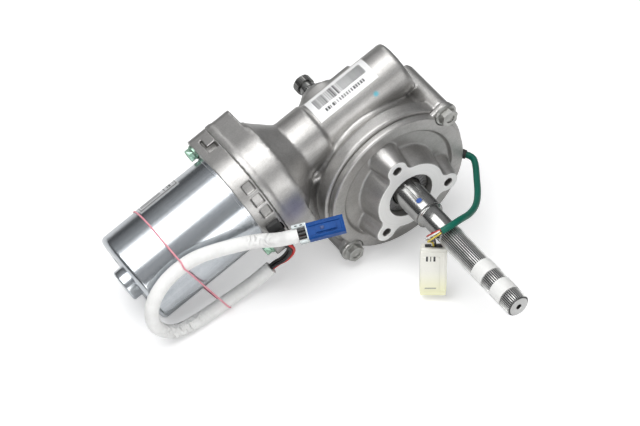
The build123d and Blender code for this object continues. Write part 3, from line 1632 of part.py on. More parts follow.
# Sensor lead: green sheath, its five wires and the white plug
sensor_plug_length = 40.0
sensor_plug_width = 19.4
sensor_plug_depth = 9.0
sensor_plug_top = (37.2, -11.4, -13.5)
sensor_plug_foot = (46.0, -31.3, -47.1)
nozzle_tip = nozzle_root + nozzle_way * nozzle_length
lead_start = (
    nozzle_tip.dot(steering_way),
    nozzle_tip.dot(worm_way),
    nozzle_tip.dot(reach_way),
)
nozzle_start = (
    nozzle_root.dot(steering_way),
    nozzle_root.dot(worm_way),
    nozzle_root.dot(reach_way),
)
sensor_route = [
    lead_start,
    past(nozzle_start, lead_start, 5.0),
    (-9.0, 55.9, -33.6),
    (4.0, 48.6, -29.0),
    (19.8, 40.2, -22.2),
    (33.7, 31.4, -13.4),
    (42.7, 21.6, -3.6),
    (48.6, 11.9, 7.6),
    (51.2, 3.3, 12.6),
    (50.0, -4.1, 13.0),
]
sensor_wire_route = [
    sensor_route[-1],
    past(sensor_route[-2], sensor_route[-1], 5.0),
    (44.5, -13.5, 8.0),
    (39.5, -13.5, 0.5),
    past(sensor_plug_foot, sensor_plug_top, 5.0),
    sensor_plug_top,
]
ship(cord_solid(sensor_route, sensor_lead_radius), "sensor_lead")
ship(cord_solid(sensor_wire_route, sensor_wire_radius), "sensor_wires")

sensor_plug_way = (place(*sensor_plug_foot) - place(*sensor_plug_top)).normalized()
sensor_plug_side = way(0.554, 0.772, -0.312)
sensor_plug_plane = Plane(origin=place(*sensor_plug_top), x_dir=sensor_plug_side,
                          z_dir=sensor_plug_way)
with BuildPart() as sensor_plug:
    with BuildSketch(sensor_plug_plane):
        RectangleRounded(sensor_plug_width, sensor_plug_depth, 0.8)
    extrude(amount=sensor_plug_length)
    with BuildSketch(sensor_plug_plane.offset(sensor_plug_length)):
        RectangleRounded(sensor_plug_width - 2.4, sensor_plug_depth - 2.4, 0.6)
    extrude(amount=-plug_mouth, mode=Mode.SUBTRACT)
ship(sensor_plug.part, "sensor_plug")

# Elastic band round the can and the sleeved lead beside it
band_station = 162.0
band_lead = (-26.7, 7.35)
band_thickness = 0.7
band_width = 1.3
band_clearance = 0.85
band_spot = (band_lead[0] - worm_station, band_lead[1] - centre_distance)
with BuildPart() as rubber_band:
    with BuildSketch(drive.offset(band_station)) as band:
        Circle(can_radius + running_gap + band_thickness)
        with Locations(band_spot):
            Circle(sleeve_lead_radius + band_clearance + band_thickness)
        make_hull()
        with BuildSketch(mode=Mode.PRIVATE) as inside:
            Circle(can_radius + running_gap)
            with Locations(band_spot):
                Circle(sleeve_lead_radius + band_clearance)
            make_hull()
        add(inside.sketch, mode=Mode.SUBTRACT)
    extrude(amount=band_width)
ship(rubber_band.part, "rubber_band")

# Two blank labels: a film on the worm tube and a foil on the motor can


def film(station, length, radius, middle_angle, arc):
    """A thin skin on part of a cylinder of the drive, from its middle angle and its arc."""
    with BuildPart() as skin:
        with BuildSketch(drive.offset(station)):
            Circle(radius + film_thickness)
            Circle(radius, mode=Mode.SUBTRACT)
            for side in (0.5 * arc + 45.0, 0.5 * arc + 135.0):
                for sign in (-1, 1):
                    with Locations(Location((0, 0), middle_angle + sign * side)):
                        wedge(radius, 90.0)
        extrude(amount=length)
    return skin.part


film_thickness = 0.15
ship(film(-33.0, 53.0, tube_radius + seat_gap, 92.5, 70.0), "tube_label")
ship(film(126.0, 35.0, can_radius + seat_gap, 131.0, 34.0), "can_label")
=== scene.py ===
import json
import math

import bmesh
import bpy
import numpy as np
from mathutils import Matrix


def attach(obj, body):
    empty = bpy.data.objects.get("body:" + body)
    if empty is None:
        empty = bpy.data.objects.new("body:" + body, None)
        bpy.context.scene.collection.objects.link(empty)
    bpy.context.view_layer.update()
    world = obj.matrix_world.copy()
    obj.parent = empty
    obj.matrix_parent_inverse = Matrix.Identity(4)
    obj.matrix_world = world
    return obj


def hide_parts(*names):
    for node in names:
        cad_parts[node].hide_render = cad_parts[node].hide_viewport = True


# Steering gearbox on a white bench, seen from above on the input shaft's side.
# Lengths are in metres, except the millimetres that place, route, around and mm turn into
# metres. The row frame has +X along the steering axis and +Z up.

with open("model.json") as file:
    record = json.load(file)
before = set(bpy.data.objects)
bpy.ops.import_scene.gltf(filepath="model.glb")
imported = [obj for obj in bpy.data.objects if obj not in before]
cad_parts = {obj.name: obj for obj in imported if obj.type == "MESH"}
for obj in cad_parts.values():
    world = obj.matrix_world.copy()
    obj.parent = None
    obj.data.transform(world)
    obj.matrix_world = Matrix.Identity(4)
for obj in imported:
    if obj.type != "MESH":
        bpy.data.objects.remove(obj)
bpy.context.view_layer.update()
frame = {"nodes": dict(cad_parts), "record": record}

mm = 0.001
clock_angle = math.radians(22.0)
steering_way = np.array([1.0, 0.0, 0.0])
worm_way = np.array([0.0, math.cos(clock_angle), math.sin(clock_angle)])
reach_way = np.array([0.0, -math.sin(clock_angle), math.cos(clock_angle)])
drive_way = -worm_way
steering_centre = np.zeros(3)
worm_centre = (-62.0 * steering_way + 50.0 * reach_way) * mm
bench_height = -60.8 * mm
merge_distance = 2e-6


def unit(vector):
    """The same direction with a length of one."""
    return vector / np.linalg.norm(vector)


def place(station, along_worm, reach):
    """A point from its distances in millimetres: steering axis, worm axis, and between them."""
    return (station * steering_way + along_worm * worm_way + reach * reach_way) * mm


def way(station, along_worm, reach):
    """A unit direction given in the same three parts as a place."""
    return unit(place(station, along_worm, reach))


# Camera

def stand(thing, spot, aim):
    """Shows a camera or a lamp at a spot, turned to its aim, with its side kept level."""
    back = unit(np.subtract(spot, aim))
    side = unit(np.cross([0.0, 0.0, 1.0], back))
    turned = np.column_stack([side, np.cross(back, side), back, spot])
    thing.matrix_world = Matrix([*turned.tolist(), [0.0, 0.0, 0.0, 1.0]])
    bpy.context.scene.collection.objects.link(thing)


camera_way = unit(np.array([0.585, -0.389, 0.711]))
camera_target = np.array([-23.1, -63.7, -1.8]) * mm
camera_distance = 2.2
picture_columns = 640
column_width = 0.72 * mm
sensor_width = 36.0
camera_data = bpy.data.cameras.new("camera")
camera_data.sensor_width = sensor_width
camera_data.lens = sensor_width * camera_distance / (picture_columns * column_width)
camera_data.dof.use_dof = False
camera = bpy.data.objects.new("camera", camera_data)
stand(camera, camera_target + camera_way * camera_distance, camera_target)
bpy.context.scene.camera = camera
bpy.context.scene.view_settings.view_transform = "Standard"


# Shader helpers

def feed(tree, socket, value):
    """Gives a socket a number, a colour or a place, or links another node's output to it."""
    if isinstance(value, bpy.types.NodeSocket):
        tree.links.new(value, socket)
    elif socket.type == "RGBA":
        socket.default_value = (*value, 1.0)
    else:
        socket.default_value = value


def add_node(tree, kind, inputs=None, **settings):
    """A new shader node with its settings and then its inputs."""
    made = tree.nodes.new(kind)
    for name, value in settings.items():
        setattr(made, name, value)
    for name, value in (inputs or {}).items():
        feed(tree, made.inputs[name], value)
    return made


def calc(tree, operation, *values):
    """A maths node on numbers or other nodes' outputs; gives its output."""
    made = add_node(tree, "ShaderNodeMath", dict(enumerate(values)), operation=operation)
    return made.outputs[0]


def between(tree, value, low, high):
    """1 where a value lies between two numbers and 0 elsewhere."""
    above = calc(tree, "GREATER_THAN", value, low)
    below = calc(tree, "LESS_THAN", value, high)
    return calc(tree, "MULTIPLY", above, below)


def blend(tree, share, first, second, kind="RGBA"):
    """A colour, or with FLOAT a number, that goes from the first to the second by a share."""
    made = add_node(tree, "ShaderNodeMix", {"Factor": share, "A": first, "B": second},
                    data_type=kind)
    return made.outputs["Result"]


def ramp(tree, value, start, end, first=0.0, last=1.0, kind="LINEAR"):
    """The first number up to a start, the last one from an end on, and a slope between."""
    made = add_node(tree, "ShaderNodeMapRange", {
        "Value": value, "From Min": start, "From Max": end, "To Min": first, "To Max": last,
    }, interpolation_type=kind)
    return made.outputs["Result"]


def own_place(tree):
    """A point's place in its own piece, in metres."""
    return add_node(tree, "ShaderNodeTexCoord").outputs["Object"]


def split(tree, vector):
    """The three parts of a vector."""
    parts = add_node(tree, "ShaderNodeSeparateXYZ", {"Vector": vector})
    return parts.outputs["X"], parts.outputs["Y"], parts.outputs["Z"]


def axis_distance(tree, y, z):
    """How far a point is from the steering axis."""
    square = calc(tree, "ADD", calc(tree, "MULTIPLY", y, y), calc(tree, "MULTIPLY", z, z))
    return calc(tree, "SQRT", square)


def soft_spot(tree, spot, size, core, strength=1.0):
    """Its strength within a core, which is a share of its size, fading to 0 at its size."""
    away = add_node(tree, "ShaderNodeVectorMath", {0: own_place(tree), 1: tuple(spot)},
                    operation="DISTANCE")
    return ramp(tree, away.outputs["Value"], size, core * size, 0.0, strength, "SMOOTHSTEP")


def noise(tree, where, scale, detail, roughness=0.5):
    """Soft noise over a place."""
    made = add_node(tree, "ShaderNodeTexNoise", {
        "Vector": where, "Scale": scale, "Detail": detail, "Roughness": roughness,
    })
    return made.outputs["Fac"]


def relief(tree, height, depth):
    """A surface normal for a height, with the depth of a height of 1 in metres."""
    made = add_node(tree, "ShaderNodeBump", {
        "Strength": 1.0, "Distance": depth, "Height": height,
    })
    return made.outputs["Normal"]


# Shader groups: effects that several materials share

def new_group(name, inputs, outputs):
    """An empty group of number sockets, as (tree, input node, output node)."""
    tree = bpy.data.node_groups.new(name, "ShaderNodeTree")
    for label, constant in inputs.items():
        socket = tree.interface.new_socket(label, in_out="INPUT",
                                           socket_type="NodeSocketFloat")
        socket.default_value = constant
    for label in outputs:
        tree.interface.new_socket(label, in_out="OUTPUT", socket_type="NodeSocketFloat")
    return tree, tree.nodes.new("NodeGroupInput"), tree.nodes.new("NodeGroupOutput")


def use_group(tree, group, **values):
    """A group placed in a material's tree with its own values; gives its outputs."""
    made = add_node(tree, "ShaderNodeGroup", node_tree=group)
    for label, value in values.items():
        made.inputs[label.replace("_", " ").capitalize()].default_value = value
    return made.outputs


def make_turning_group():
    """Marks of a turning tool: fine rings round the steering axis, a little uneven."""
    tree, start, end = new_group("turning marks", {"Pitch": 0.0006}, ["Marks"])
    y, z = split(tree, own_place(tree))[1:]
    turns = calc(tree, "DIVIDE", axis_distance(tree, y, z), start.outputs["Pitch"])
    uneven = add_node(tree, "ShaderNodeTexNoise", {"W": turns, "Scale": 0.7, "Detail": 2.0},
                      noise_dimensions="1D")
    wave = calc(tree, "SINE", calc(tree, "MULTIPLY", turns, 2 * math.pi))
    feed(tree, end.inputs["Marks"],
         calc(tree, "MULTIPLY_ADD", wave, 0.25, uneven.outputs["Fac"]))
    return tree


def make_streak_group():
    """Drawing streaks: noise pulled long along the worm axis."""
    tree, start, end = new_group("drawing streaks", {"Size": 500.0, "Stretch": 0.03},
                                 ["Streak"])
    level = add_node(tree, "ShaderNodeVectorRotate",
                     {"Vector": own_place(tree), "Angle": -clock_angle},
                     rotation_type="X_AXIS")
    pull = add_node(tree, "ShaderNodeCombineXYZ",
                    {"X": 1.0, "Y": start.outputs["Stretch"], "Z": 1.0})
    pulled = add_node(tree, "ShaderNodeVectorMath",
                      {0: level.outputs["Vector"], 1: pull.outputs["Vector"]},
                      operation="MULTIPLY")
    streak = noise(tree, pulled.outputs["Vector"], start.outputs["Size"], 3.0, 0.65)
    feed(tree, end.inputs["Streak"], streak)
    return tree


def make_grain_group():
    """Cloudy tone and fine grain, from the piece's own place in space."""
    tree, start, end = new_group(
        "surface grain", {"Cloud size": 60.0, "Grain size": 900.0, "Cloud share": 0.6},
        ["Tone", "Grain"],
    )
    where = own_place(tree)
    cloud = noise(tree, where, start.outputs["Cloud size"], 4.0, 0.6)
    grain = noise(tree, where, start.outputs["Grain size"], 3.0, 0.7)
    tone = blend(tree, start.outputs["Cloud share"], grain, cloud, "FLOAT")
    feed(tree, end.inputs["Tone"], tone)
    feed(tree, end.inputs["Grain"], grain)
    return tree


grain_group = make_grain_group()
turning_group = make_turning_group()
streak_group = make_streak_group()


# Materials

tone_span = (0.35, 0.65)
coat_roughness = 0.12
cast_metal = 0.88
machined_metal = 0.28
machined_roughness = 0.42
shaded_share = 0.93
low_bend = place(-23, -193, 20)
low_bend_size = 0.034
high_bend = place(-16, -108, 55)
high_bend_size = 0.020
fold_depth = 0.0009
tooth_top_radius = 0.00875
tooth_gap_radius = 0.0081
# Painted shade in the spline's tooth gaps: the stations it spans and its colour.
gap_shade_start = 0.0485
gap_shade_end = 0.1318
moulding_white_height = -0.030
moulding_yellow_height = -0.054
gap_shade_colour = (0.03, 0.03, 0.03)
print_colour = (0.022, 0.022, 0.025)
# Painted highlight: the pale grey laid on the castings' sharp edges.
edge_highlight_colour = (0.66, 0.655, 0.645)
streak_colour = (0.82, 0.84, 0.86)


def tinted(colour, factor):
    """A colour times a factor."""
    return tuple(factor * part for part in colour)


def new_material(name):
    """A material that uses nodes, as (material, tree, shader inputs)."""
    material = bpy.data.materials.new(name)
    material.use_nodes = True
    tree = material.node_tree
    return material, tree, tree.nodes["Principled BSDF"].inputs


def make_finish(name, dark, light, metal, rough, bump=0.0, cloud=60.0, grain=900.0,
                cloud_share=0.6, coat=0.0, mirror=0.5):
    """A surface whose tone wanders between two colours and whose gloss follows it."""
    material, tree, sockets = new_material(name)
    texture = use_group(tree, grain_group, cloud_size=cloud, grain_size=grain,
                        cloud_share=cloud_share)
    tone = ramp(tree, texture["Tone"], *tone_span)
    feed(tree, sockets["Base Color"], blend(tree, tone, dark, light))
    feed(tree, sockets["Roughness"], ramp(tree, tone, 0.0, 1.0, *rough))
    feed(tree, sockets["Metallic"], metal)
    feed(tree, sockets["Specular IOR Level"], mirror)
    feed(tree, sockets["Coat Weight"], coat)
    feed(tree, sockets["Coat Roughness"], coat_roughness)
    if bump:
        feed(tree, sockets["Normal"], relief(tree, texture["Grain"], bump))
    return material


def opened(material):
    """A finish's tree and its shader inputs."""
    tree = material.node_tree
    return tree, tree.nodes["Principled BSDF"].inputs


def recolour(tree, sockets, share, colour):
    """Turns what a finish looks like so far towards a colour, by a share."""
    before = sockets["Base Color"].links[0].from_socket
    feed(tree, sockets["Base Color"], blend(tree, share, before, colour))


def make_casting(name, dark, light, machined_station=None, smudges=()):
    """Sand-grey die casting: soft clouds, drag streaks and fine grain, with a painted highlight
    on sharp edges and painted shade in hollows. Smudges are marks of ink or paint, and faces in
    front of a machined station are turned bright."""
    material = make_finish(name, dark, light, cast_metal, (0.44, 0.34), bump=0.00011,
                           cloud=45.0, grain=1300.0, cloud_share=0.5)
    tree, sockets = opened(material)
    streak = use_group(tree, streak_group, size=420.0, stretch=0.05)["Streak"]
    dragged = calc(tree, "MAXIMUM", calc(tree, "MULTIPLY_ADD", streak, 0.9, -0.35), 0.0)
    recolour(tree, sockets, calc(tree, "MULTIPLY", dragged, 0.8), tinted(light, 1.18))
    bulge = add_node(tree, "ShaderNodeNewGeometry").outputs["Pointiness"]
    # Painted highlight: sharp edges turned lighter, standing in for the light they catch.
    recolour(tree, sockets, ramp(tree, bulge, 0.52, 0.60, 0.0, 0.6), edge_highlight_colour)
    # Painted shade: hollows turned darker, standing in for the shade that falls in them.
    recolour(tree, sockets, ramp(tree, bulge, 0.485, 0.44, 0.0, 0.45), tinted(dark, 0.45))
    for spot, size, strength, ink in smudges:
        recolour(tree, sockets, soft_spot(tree, spot, size, 0.25, strength), ink)
    if machined_station is not None:
        normal = add_node(tree, "ShaderNodeTexCoord").outputs["Normal"]
        station = split(tree, own_place(tree))[0]
        front = calc(tree, "GREATER_THAN", station, machined_station)
        square = calc(tree, "GREATER_THAN", split(tree, normal)[0], 0.8)
        turned = calc(tree, "MULTIPLY", front, square)
        marks = use_group(tree, turning_group, pitch=0.0007)["Marks"]
        bright = blend(tree, marks, (0.84, 0.84, 0.83), (0.94, 0.94, 0.93))
        recolour(tree, sockets, turned, bright)
        feed(tree, sockets["Metallic"],
             blend(tree, turned, cast_metal, machined_metal, "FLOAT"))
        gloss = sockets["Roughness"].links[0].from_socket
        feed(tree, sockets["Roughness"],
             blend(tree, turned, gloss, machined_roughness, "FLOAT"))
    return material


def make_zinc_can():
    """Zinc plate on drawn steel: cool, glossy, with long drawing streaks and haze."""
    material = make_finish("bright zinc plate", (0.40, 0.43, 0.46), (0.60, 0.63, 0.66),
                           1.0, (0.26, 0.17), bump=0.000012, cloud=26.0, grain=500.0,
                           cloud_share=0.8)
    tree, sockets = opened(material)
    streak = use_group(tree, streak_group, size=260.0, stretch=0.012)["Streak"]
    recolour(tree, sockets, ramp(tree, streak, 0.35, 0.7, 0.0, 0.35), streak_colour)
    rougher = calc(tree, "MULTIPLY_ADD", streak, 0.16, -0.08)
    gloss = sockets["Roughness"].links[0].from_socket
    feed(tree, sockets["Roughness"], calc(tree, "ADD", gloss, rougher))
    return material


def make_sleeve_material():
    """Soft white tubing: matt, slightly mottled, wrinkled where it is bent hard."""
    material = make_finish("white sleeve", (0.80, 0.80, 0.785), (0.90, 0.90, 0.885),
                           0.0, (0.62, 0.5), grain=260.0)
    tree, sockets = opened(material)
    where = own_place(tree)
    bent = calc(tree, "ADD", soft_spot(tree, low_bend, low_bend_size, 0.3),
                soft_spot(tree, high_bend, high_bend_size, 0.3))
    creases = add_node(tree, "ShaderNodeTexWave", {
        "Vector": where, "Scale": 95.0, "Distortion": 7.0, "Detail": 2.0, "Detail Scale": 1.5,
    }, wave_type="BANDS", bands_direction="DIAGONAL")
    folds = calc(tree, "MULTIPLY", creases.outputs["Fac"], bent)
    height = calc(tree, "MULTIPLY_ADD", noise(tree, where, 240.0, 3.0), 0.35, folds)
    feed(tree, sockets["Normal"], relief(tree, height, fold_depth))
    return material


def make_spline_steel():
    """Ground steel with bright tooth tops and painted shade in the tooth gaps."""
    material = make_finish("spline steel", (0.52, 0.52, 0.51), (0.72, 0.72, 0.71),
                           0.85, (0.40, 0.30))
    tree, sockets = opened(material)
    x, y, z = split(tree, own_place(tree))
    gap = ramp(tree, axis_distance(tree, y, z), tooth_top_radius, tooth_gap_radius, 0.0, 0.9)
    # Painted shade: the tooth gaps darkened towards black between the stations.
    gap_shade = calc(tree, "MULTIPLY", between(tree, x, gap_shade_start, gap_shade_end), gap)
    recolour(tree, sockets, gap_shade, gap_shade_colour)
    return material


def make_moulding(name, top, foot):
    """Milky moulding that is yellower low down, where it faces the bench."""
    material = make_finish(name, tinted(top, shaded_share), top, 0.0, (0.4, 0.32))
    tree, sockets = opened(material)
    height = split(tree, own_place(tree))[2]
    low = ramp(tree, height, moulding_white_height, moulding_yellow_height,
               kind="SMOOTHSTEP")
    recolour(tree, sockets, low, foot)
    return material


def make_label_material(name, paper, metal, draw):
    """A label whose print is worked out from its own flat map, u along and v across."""
    material = make_finish(name, tinted(paper, shaded_share), paper, metal, (0.42, 0.34))
    tree, sockets = opened(material)
    flat = add_node(tree, "ShaderNodeUVMap", uv_map="flat")
    u, v = split(tree, flat.outputs["UV"])[:2]
    recolour(tree, sockets, draw(tree, u, v), print_colour)
    return material


def steps_along(tree, value, step, seed):
    """Steps along a value, as the share that is passed of each step, and each step's own
    number by chance."""
    steps = calc(tree, "DIVIDE", value, step)
    cell = calc(tree, "ADD", calc(tree, "FLOOR", steps), seed)
    number = add_node(tree, "ShaderNodeTexWhiteNoise", {"W": cell}, noise_dimensions="1D")
    return calc(tree, "FRACT", steps), number.outputs["Value"]


def bar_run(tree, value, step, seed):
    """One bar in each step, of a width by chance."""
    passed, number = steps_along(tree, value, step, seed)
    width = calc(tree, "MULTIPLY_ADD", number, 0.5, 0.25)
    return calc(tree, "LESS_THAN", passed, width)


def patch(tree, u, v, left, right, foot, top):
    """1 inside a rectangle of the flat map and 0 outside."""
    return calc(tree, "MULTIPLY", between(tree, u, left, right), between(tree, v, foot, top))


def draw_bars(tree, u, v):
    """A row of bars of chance widths with a row of plain ticks beneath."""
    bars = calc(tree, "MULTIPLY", bar_run(tree, u, 0.029, 3.5),
                patch(tree, u, v, 0.09, 0.92, 0.36, 0.80))
    ticks = calc(tree, "MULTIPLY", bar_run(tree, u, 0.040, 11.5),
                 patch(tree, u, v, 0.16, 0.84, 0.16, 0.27))
    return calc(tree, "MAXIMUM", bars, ticks)


def draw_frame(tree, u, v):
    """A thin frame with a grey field at one end and a group of plain bars at the other."""
    whole = patch(tree, u, v, 0.03, 0.97, 0.12, 0.88)
    inner = patch(tree, u, v, 0.05, 0.95, 0.20, 0.80)
    rim = calc(tree, "MULTIPLY", calc(tree, "SUBTRACT", whole, inner), 0.7)
    field = calc(tree, "MULTIPLY", patch(tree, u, v, 0.42, 0.92, 0.30, 0.70), 0.55)
    number = steps_along(tree, u, 0.022, 8.5)[1]
    bars = calc(tree, "MULTIPLY", calc(tree, "GREATER_THAN", number, 0.5),
                patch(tree, u, v, 0.08, 0.34, 0.28, 0.72))
    return calc(tree, "MAXIMUM", rim, calc(tree, "MAXIMUM", bars, field))


# Finishes by slot. Plain ones: name, dark and light colour, metal, roughness.

plain_finishes = {
    "dark_steel": ("dark steel", (0.20, 0.20, 0.20), (0.32, 0.32, 0.32), 1.0, (0.4, 0.3)),
    "bearing_steel": ("bearing steel", (0.50, 0.50, 0.50), (0.66, 0.66, 0.66), 1.0,
                      (0.25, 0.18)),
    "spring_steel": ("spring steel", (0.14, 0.14, 0.15), (0.22, 0.22, 0.23), 1.0, (0.4, 0.3)),
    "gear_nylon": ("gear nylon", (0.78, 0.74, 0.64), (0.84, 0.81, 0.72), 0.0, (0.5, 0.42)),
    "white_resin": ("white resin", (0.80, 0.80, 0.78), (0.88, 0.88, 0.86), 0.0, (0.36, 0.28)),
    "black_rubber": ("black rubber", (0.018, 0.018, 0.018), (0.035, 0.035, 0.035), 0.0,
                     (0.6, 0.5)),
    "pink_rubber": ("pink rubber", (0.70, 0.24, 0.30), (0.82, 0.36, 0.42), 0.0, (0.5, 0.4)),
    "black_wire": ("black wire", (0.015, 0.015, 0.016), (0.03, 0.03, 0.03), 0.0,
                   (0.42, 0.34)),
    "red_wire": ("red wire", (0.50, 0.02, 0.02), (0.62, 0.04, 0.03), 0.0, (0.4, 0.34)),
    "yellow_wire": ("yellow wire", (0.60, 0.45, 0.05), (0.70, 0.55, 0.08), 0.0, (0.4, 0.34)),
    "brown_wire": ("brown wire", (0.10, 0.035, 0.012), (0.16, 0.06, 0.02), 0.0, (0.4, 0.34)),
    "white_wire": ("white wire", (0.70, 0.70, 0.68), (0.80, 0.80, 0.78), 0.0, (0.4, 0.34)),
    # Painted shade: the dark blue of the blue plug's window and mouth.
    "painted_shade_blue": ("shaded blue plastic", (0.004, 0.03, 0.14), (0.006, 0.04, 0.18), 0.0,
                     (0.4, 0.32)),
    # Painted shade: the grey of the slot at the ivory plug's foot.
    "label_shade": ("painted slot shade", (0.30, 0.30, 0.27), (0.38, 0.38, 0.35), 0.0, (0.5, 0.4)),
    "black_plastic": ("black plastic", (0.02, 0.02, 0.022), (0.04, 0.04, 0.042), 0.0,
                      (0.45, 0.35)),
    "circuit_board": ("circuit board", (0.01, 0.12, 0.05), (0.02, 0.18, 0.08), 0.0,
                      (0.4, 0.3)),
    "copper": ("copper", (0.50, 0.20, 0.09), (0.66, 0.30, 0.15), 1.0, (0.4, 0.3)),
    "ferrite": ("ferrite", (0.03, 0.03, 0.032), (0.06, 0.06, 0.062), 0.1, (0.6, 0.5)),
    "core_steel": ("core steel", (0.10, 0.10, 0.10), (0.18, 0.18, 0.18), 0.9, (0.5, 0.4)),
    "carbon": ("carbon", (0.02, 0.02, 0.02), (0.04, 0.04, 0.04), 0.2, (0.6, 0.5)),
    "blue_pin": ("blued pin", (0.04, 0.08, 0.28), (0.07, 0.14, 0.40), 0.9, (0.35, 0.28)),
}
finishes = {slot: make_finish(*row) for slot, row in plain_finishes.items()}
bolt_grain = {"bump": 0.00002, "cloud": 200.0, "grain": 1500.0}
paint_dot = (place(-45.0, 23.9, 61.5), 0.0030, 0.8, (0.08, 0.42, 0.52))
ink_smudge = (place(-26, -76, 46), 0.016, 0.35, (0.22, 0.20, 0.42))
finishes.update({
    "cast_housing": make_casting("cast aluminium", (0.31, 0.303, 0.293),
                                 (0.49, 0.482, 0.470), smudges=[paint_dot, ink_smudge]),
    "machined_cover": make_casting("cover aluminium", (0.33, 0.322, 0.312),
                                   (0.51, 0.502, 0.49), machined_station=-0.0006),
    "zinc_can": make_zinc_can(),
    "zinc_bolts": make_finish("clear zinc", (0.34, 0.34, 0.32), (0.54, 0.54, 0.52),
                              0.95, (0.42, 0.28), **bolt_grain),
    "green_bolts": make_finish("green zinc", (0.18, 0.30, 0.22), (0.36, 0.52, 0.42),
                               0.9, (0.40, 0.28), **bolt_grain),
    "polished_steel": make_finish("polished steel", (0.24, 0.24, 0.235),
                                  (0.38, 0.38, 0.37), 1.0, (0.26, 0.16), cloud_share=0.7),
    "spline_steel": make_spline_steel(),
    "white_sleeve": make_sleeve_material(),
    "green_sheath": make_finish("green sheath", (0.002, 0.098, 0.065),
                                (0.005, 0.140, 0.096), 0.0, (0.42, 0.34), mirror=0.25),
    "blue_plastic": make_finish("blue plastic", (0.001, 0.048, 0.22), (0.003, 0.072, 0.30),
                                0.0, (0.50, 0.42), mirror=0.2),
    "clear_plastic": make_finish("milky plastic", (0.52, 0.58, 0.58), (0.66, 0.72, 0.72),
                                 0.0, (0.3, 0.22), coat=0.4),
    "ivory_plastic": make_moulding("ivory plastic", (0.88, 0.87, 0.80), (0.86, 0.85, 0.58)),
    "label_film": make_label_material("label film", (0.86, 0.86, 0.86), 0.0, draw_bars),
    "label_foil": make_label_material("label foil", (0.74, 0.75, 0.76), 0.7, draw_frame),
})


# CAD nodes: each shows as a merged, smooth-shaded copy in the same place

slot_of = {entry["node"]: entry["material_slot"] for entry in frame["record"]["subparts"]}
body_of = {
    node: body
    for body, nodes in frame["record"]["behaviour"]["bodies"].items()
    for node in nodes
}
crease_angle = math.radians(32.0)
corner_angle = math.radians(34.0)
flat_angle = math.radians(0.4)


def stand_for(node, mesh):
    """Shows a mesh in place of a CAD node, with that node's finish and body."""
    mesh.materials.clear()
    mesh.materials.append(finishes[slot_of[node]])
    made = bpy.data.objects.new(node + "_skin", mesh)
    bpy.context.scene.collection.objects.link(made)
    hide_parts(node)
    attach(made, body_of[node])
    return made


def smooth_copy(node):
    """A CAD node's own mesh, its loose triangles merged and shaded smooth up to a crease."""
    mesh = frame["nodes"][node].data.copy()
    mesh.name = node + "_skin"
    work = bmesh.new()
    work.from_mesh(mesh)
    bmesh.ops.remove_doubles(work, verts=work.verts, dist=merge_distance)
    bmesh.ops.dissolve_limit(work, angle_limit=flat_angle, verts=work.verts,
                             edges=work.edges)
    work.to_mesh(mesh)
    work.free()
    mesh.shade_smooth()
    mesh.set_sharp_from_angle(angle=crease_angle)
    made = stand_for(node, mesh)
    even = made.modifiers.new("even shading", "WEIGHTED_NORMAL")
    even.keep_sharp = True
    return made


# Worked-out surfaces

def grid_mesh(name, points, wrap_u=False, wrap_v=False):
    """A mesh from a grid of points: rows by columns, each closed in a ring where it wraps."""
    rows, columns = points.shape[:2]
    row = np.arange(rows if wrap_u else rows - 1)[:, None]
    column = np.arange(columns if wrap_v else columns - 1)[None, :]
    next_row = (row + 1) % rows
    next_column = (column + 1) % columns
    faces = np.stack([
        row * columns + column,
        next_row * columns + column,
        next_row * columns + next_column,
        row * columns + next_column,
    ], axis=-1).reshape(-1, 4)
    mesh = bpy.data.meshes.new(name)
    mesh.from_pydata(points.reshape(-1, 3).tolist(), [], faces.tolist())
    return mesh


def surface(name, points, finish, body, wrap_u=False, wrap_v=False):
    """A piece from a grid of points that is worked out as two parameters: rows by columns."""
    mesh = grid_mesh(name, points, wrap_u, wrap_v)
    mesh.shade_smooth()
    mesh.set_sharp_from_angle(angle=corner_angle)
    mesh.validate()
    mesh.materials.append(finishes[finish])
    made = bpy.data.objects.new(name, mesh)
    bpy.context.scene.collection.objects.link(made)
    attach(made, body)
    return made


def close_ends(mesh):
    """Merges each pole into one point, so that a turned or lofted mesh is a closed shell."""
    work = bmesh.new()
    work.from_mesh(mesh)
    bmesh.ops.remove_doubles(work, verts=work.verts, dist=merge_distance)
    bmesh.ops.recalc_face_normals(work, faces=work.faces)
    work.to_mesh(mesh)
    work.free()


def around(centre, along, first_way, stations, radii, angle):
    """Points round an axis: centre + station * along + radius * (cos(angle) * first way
    + sin(angle) * the way square to both), with stations and radii in millimetres."""
    side_way = np.cross(along, first_way)
    return centre + (stations[..., None] * along
                     + (radii * np.cos(angle))[..., None] * first_way
                     + (radii * np.sin(angle))[..., None] * side_way) * mm


def full_turn(steps):
    """Angles that go once round in even steps."""
    return np.linspace(0, 2 * np.pi, steps, endpoint=False)


def teeth_round(teeth, steps, top, slope):
    """Angles round a circle in so many steps a tooth, and over them a wave between 0 and 1:
    top - slope * distance from the tooth's middle, cut off flat."""
    phase = np.arange(steps) / steps
    wave = np.clip(top - slope * np.abs(phase - 0.5), 0.0, 1.0)
    return full_turn(teeth * steps), np.tile(wave, teeth)


# Castings: copies filled behind their walls, with their corners and joints rounded

filler_steps = 96
cast_softness = 0.5


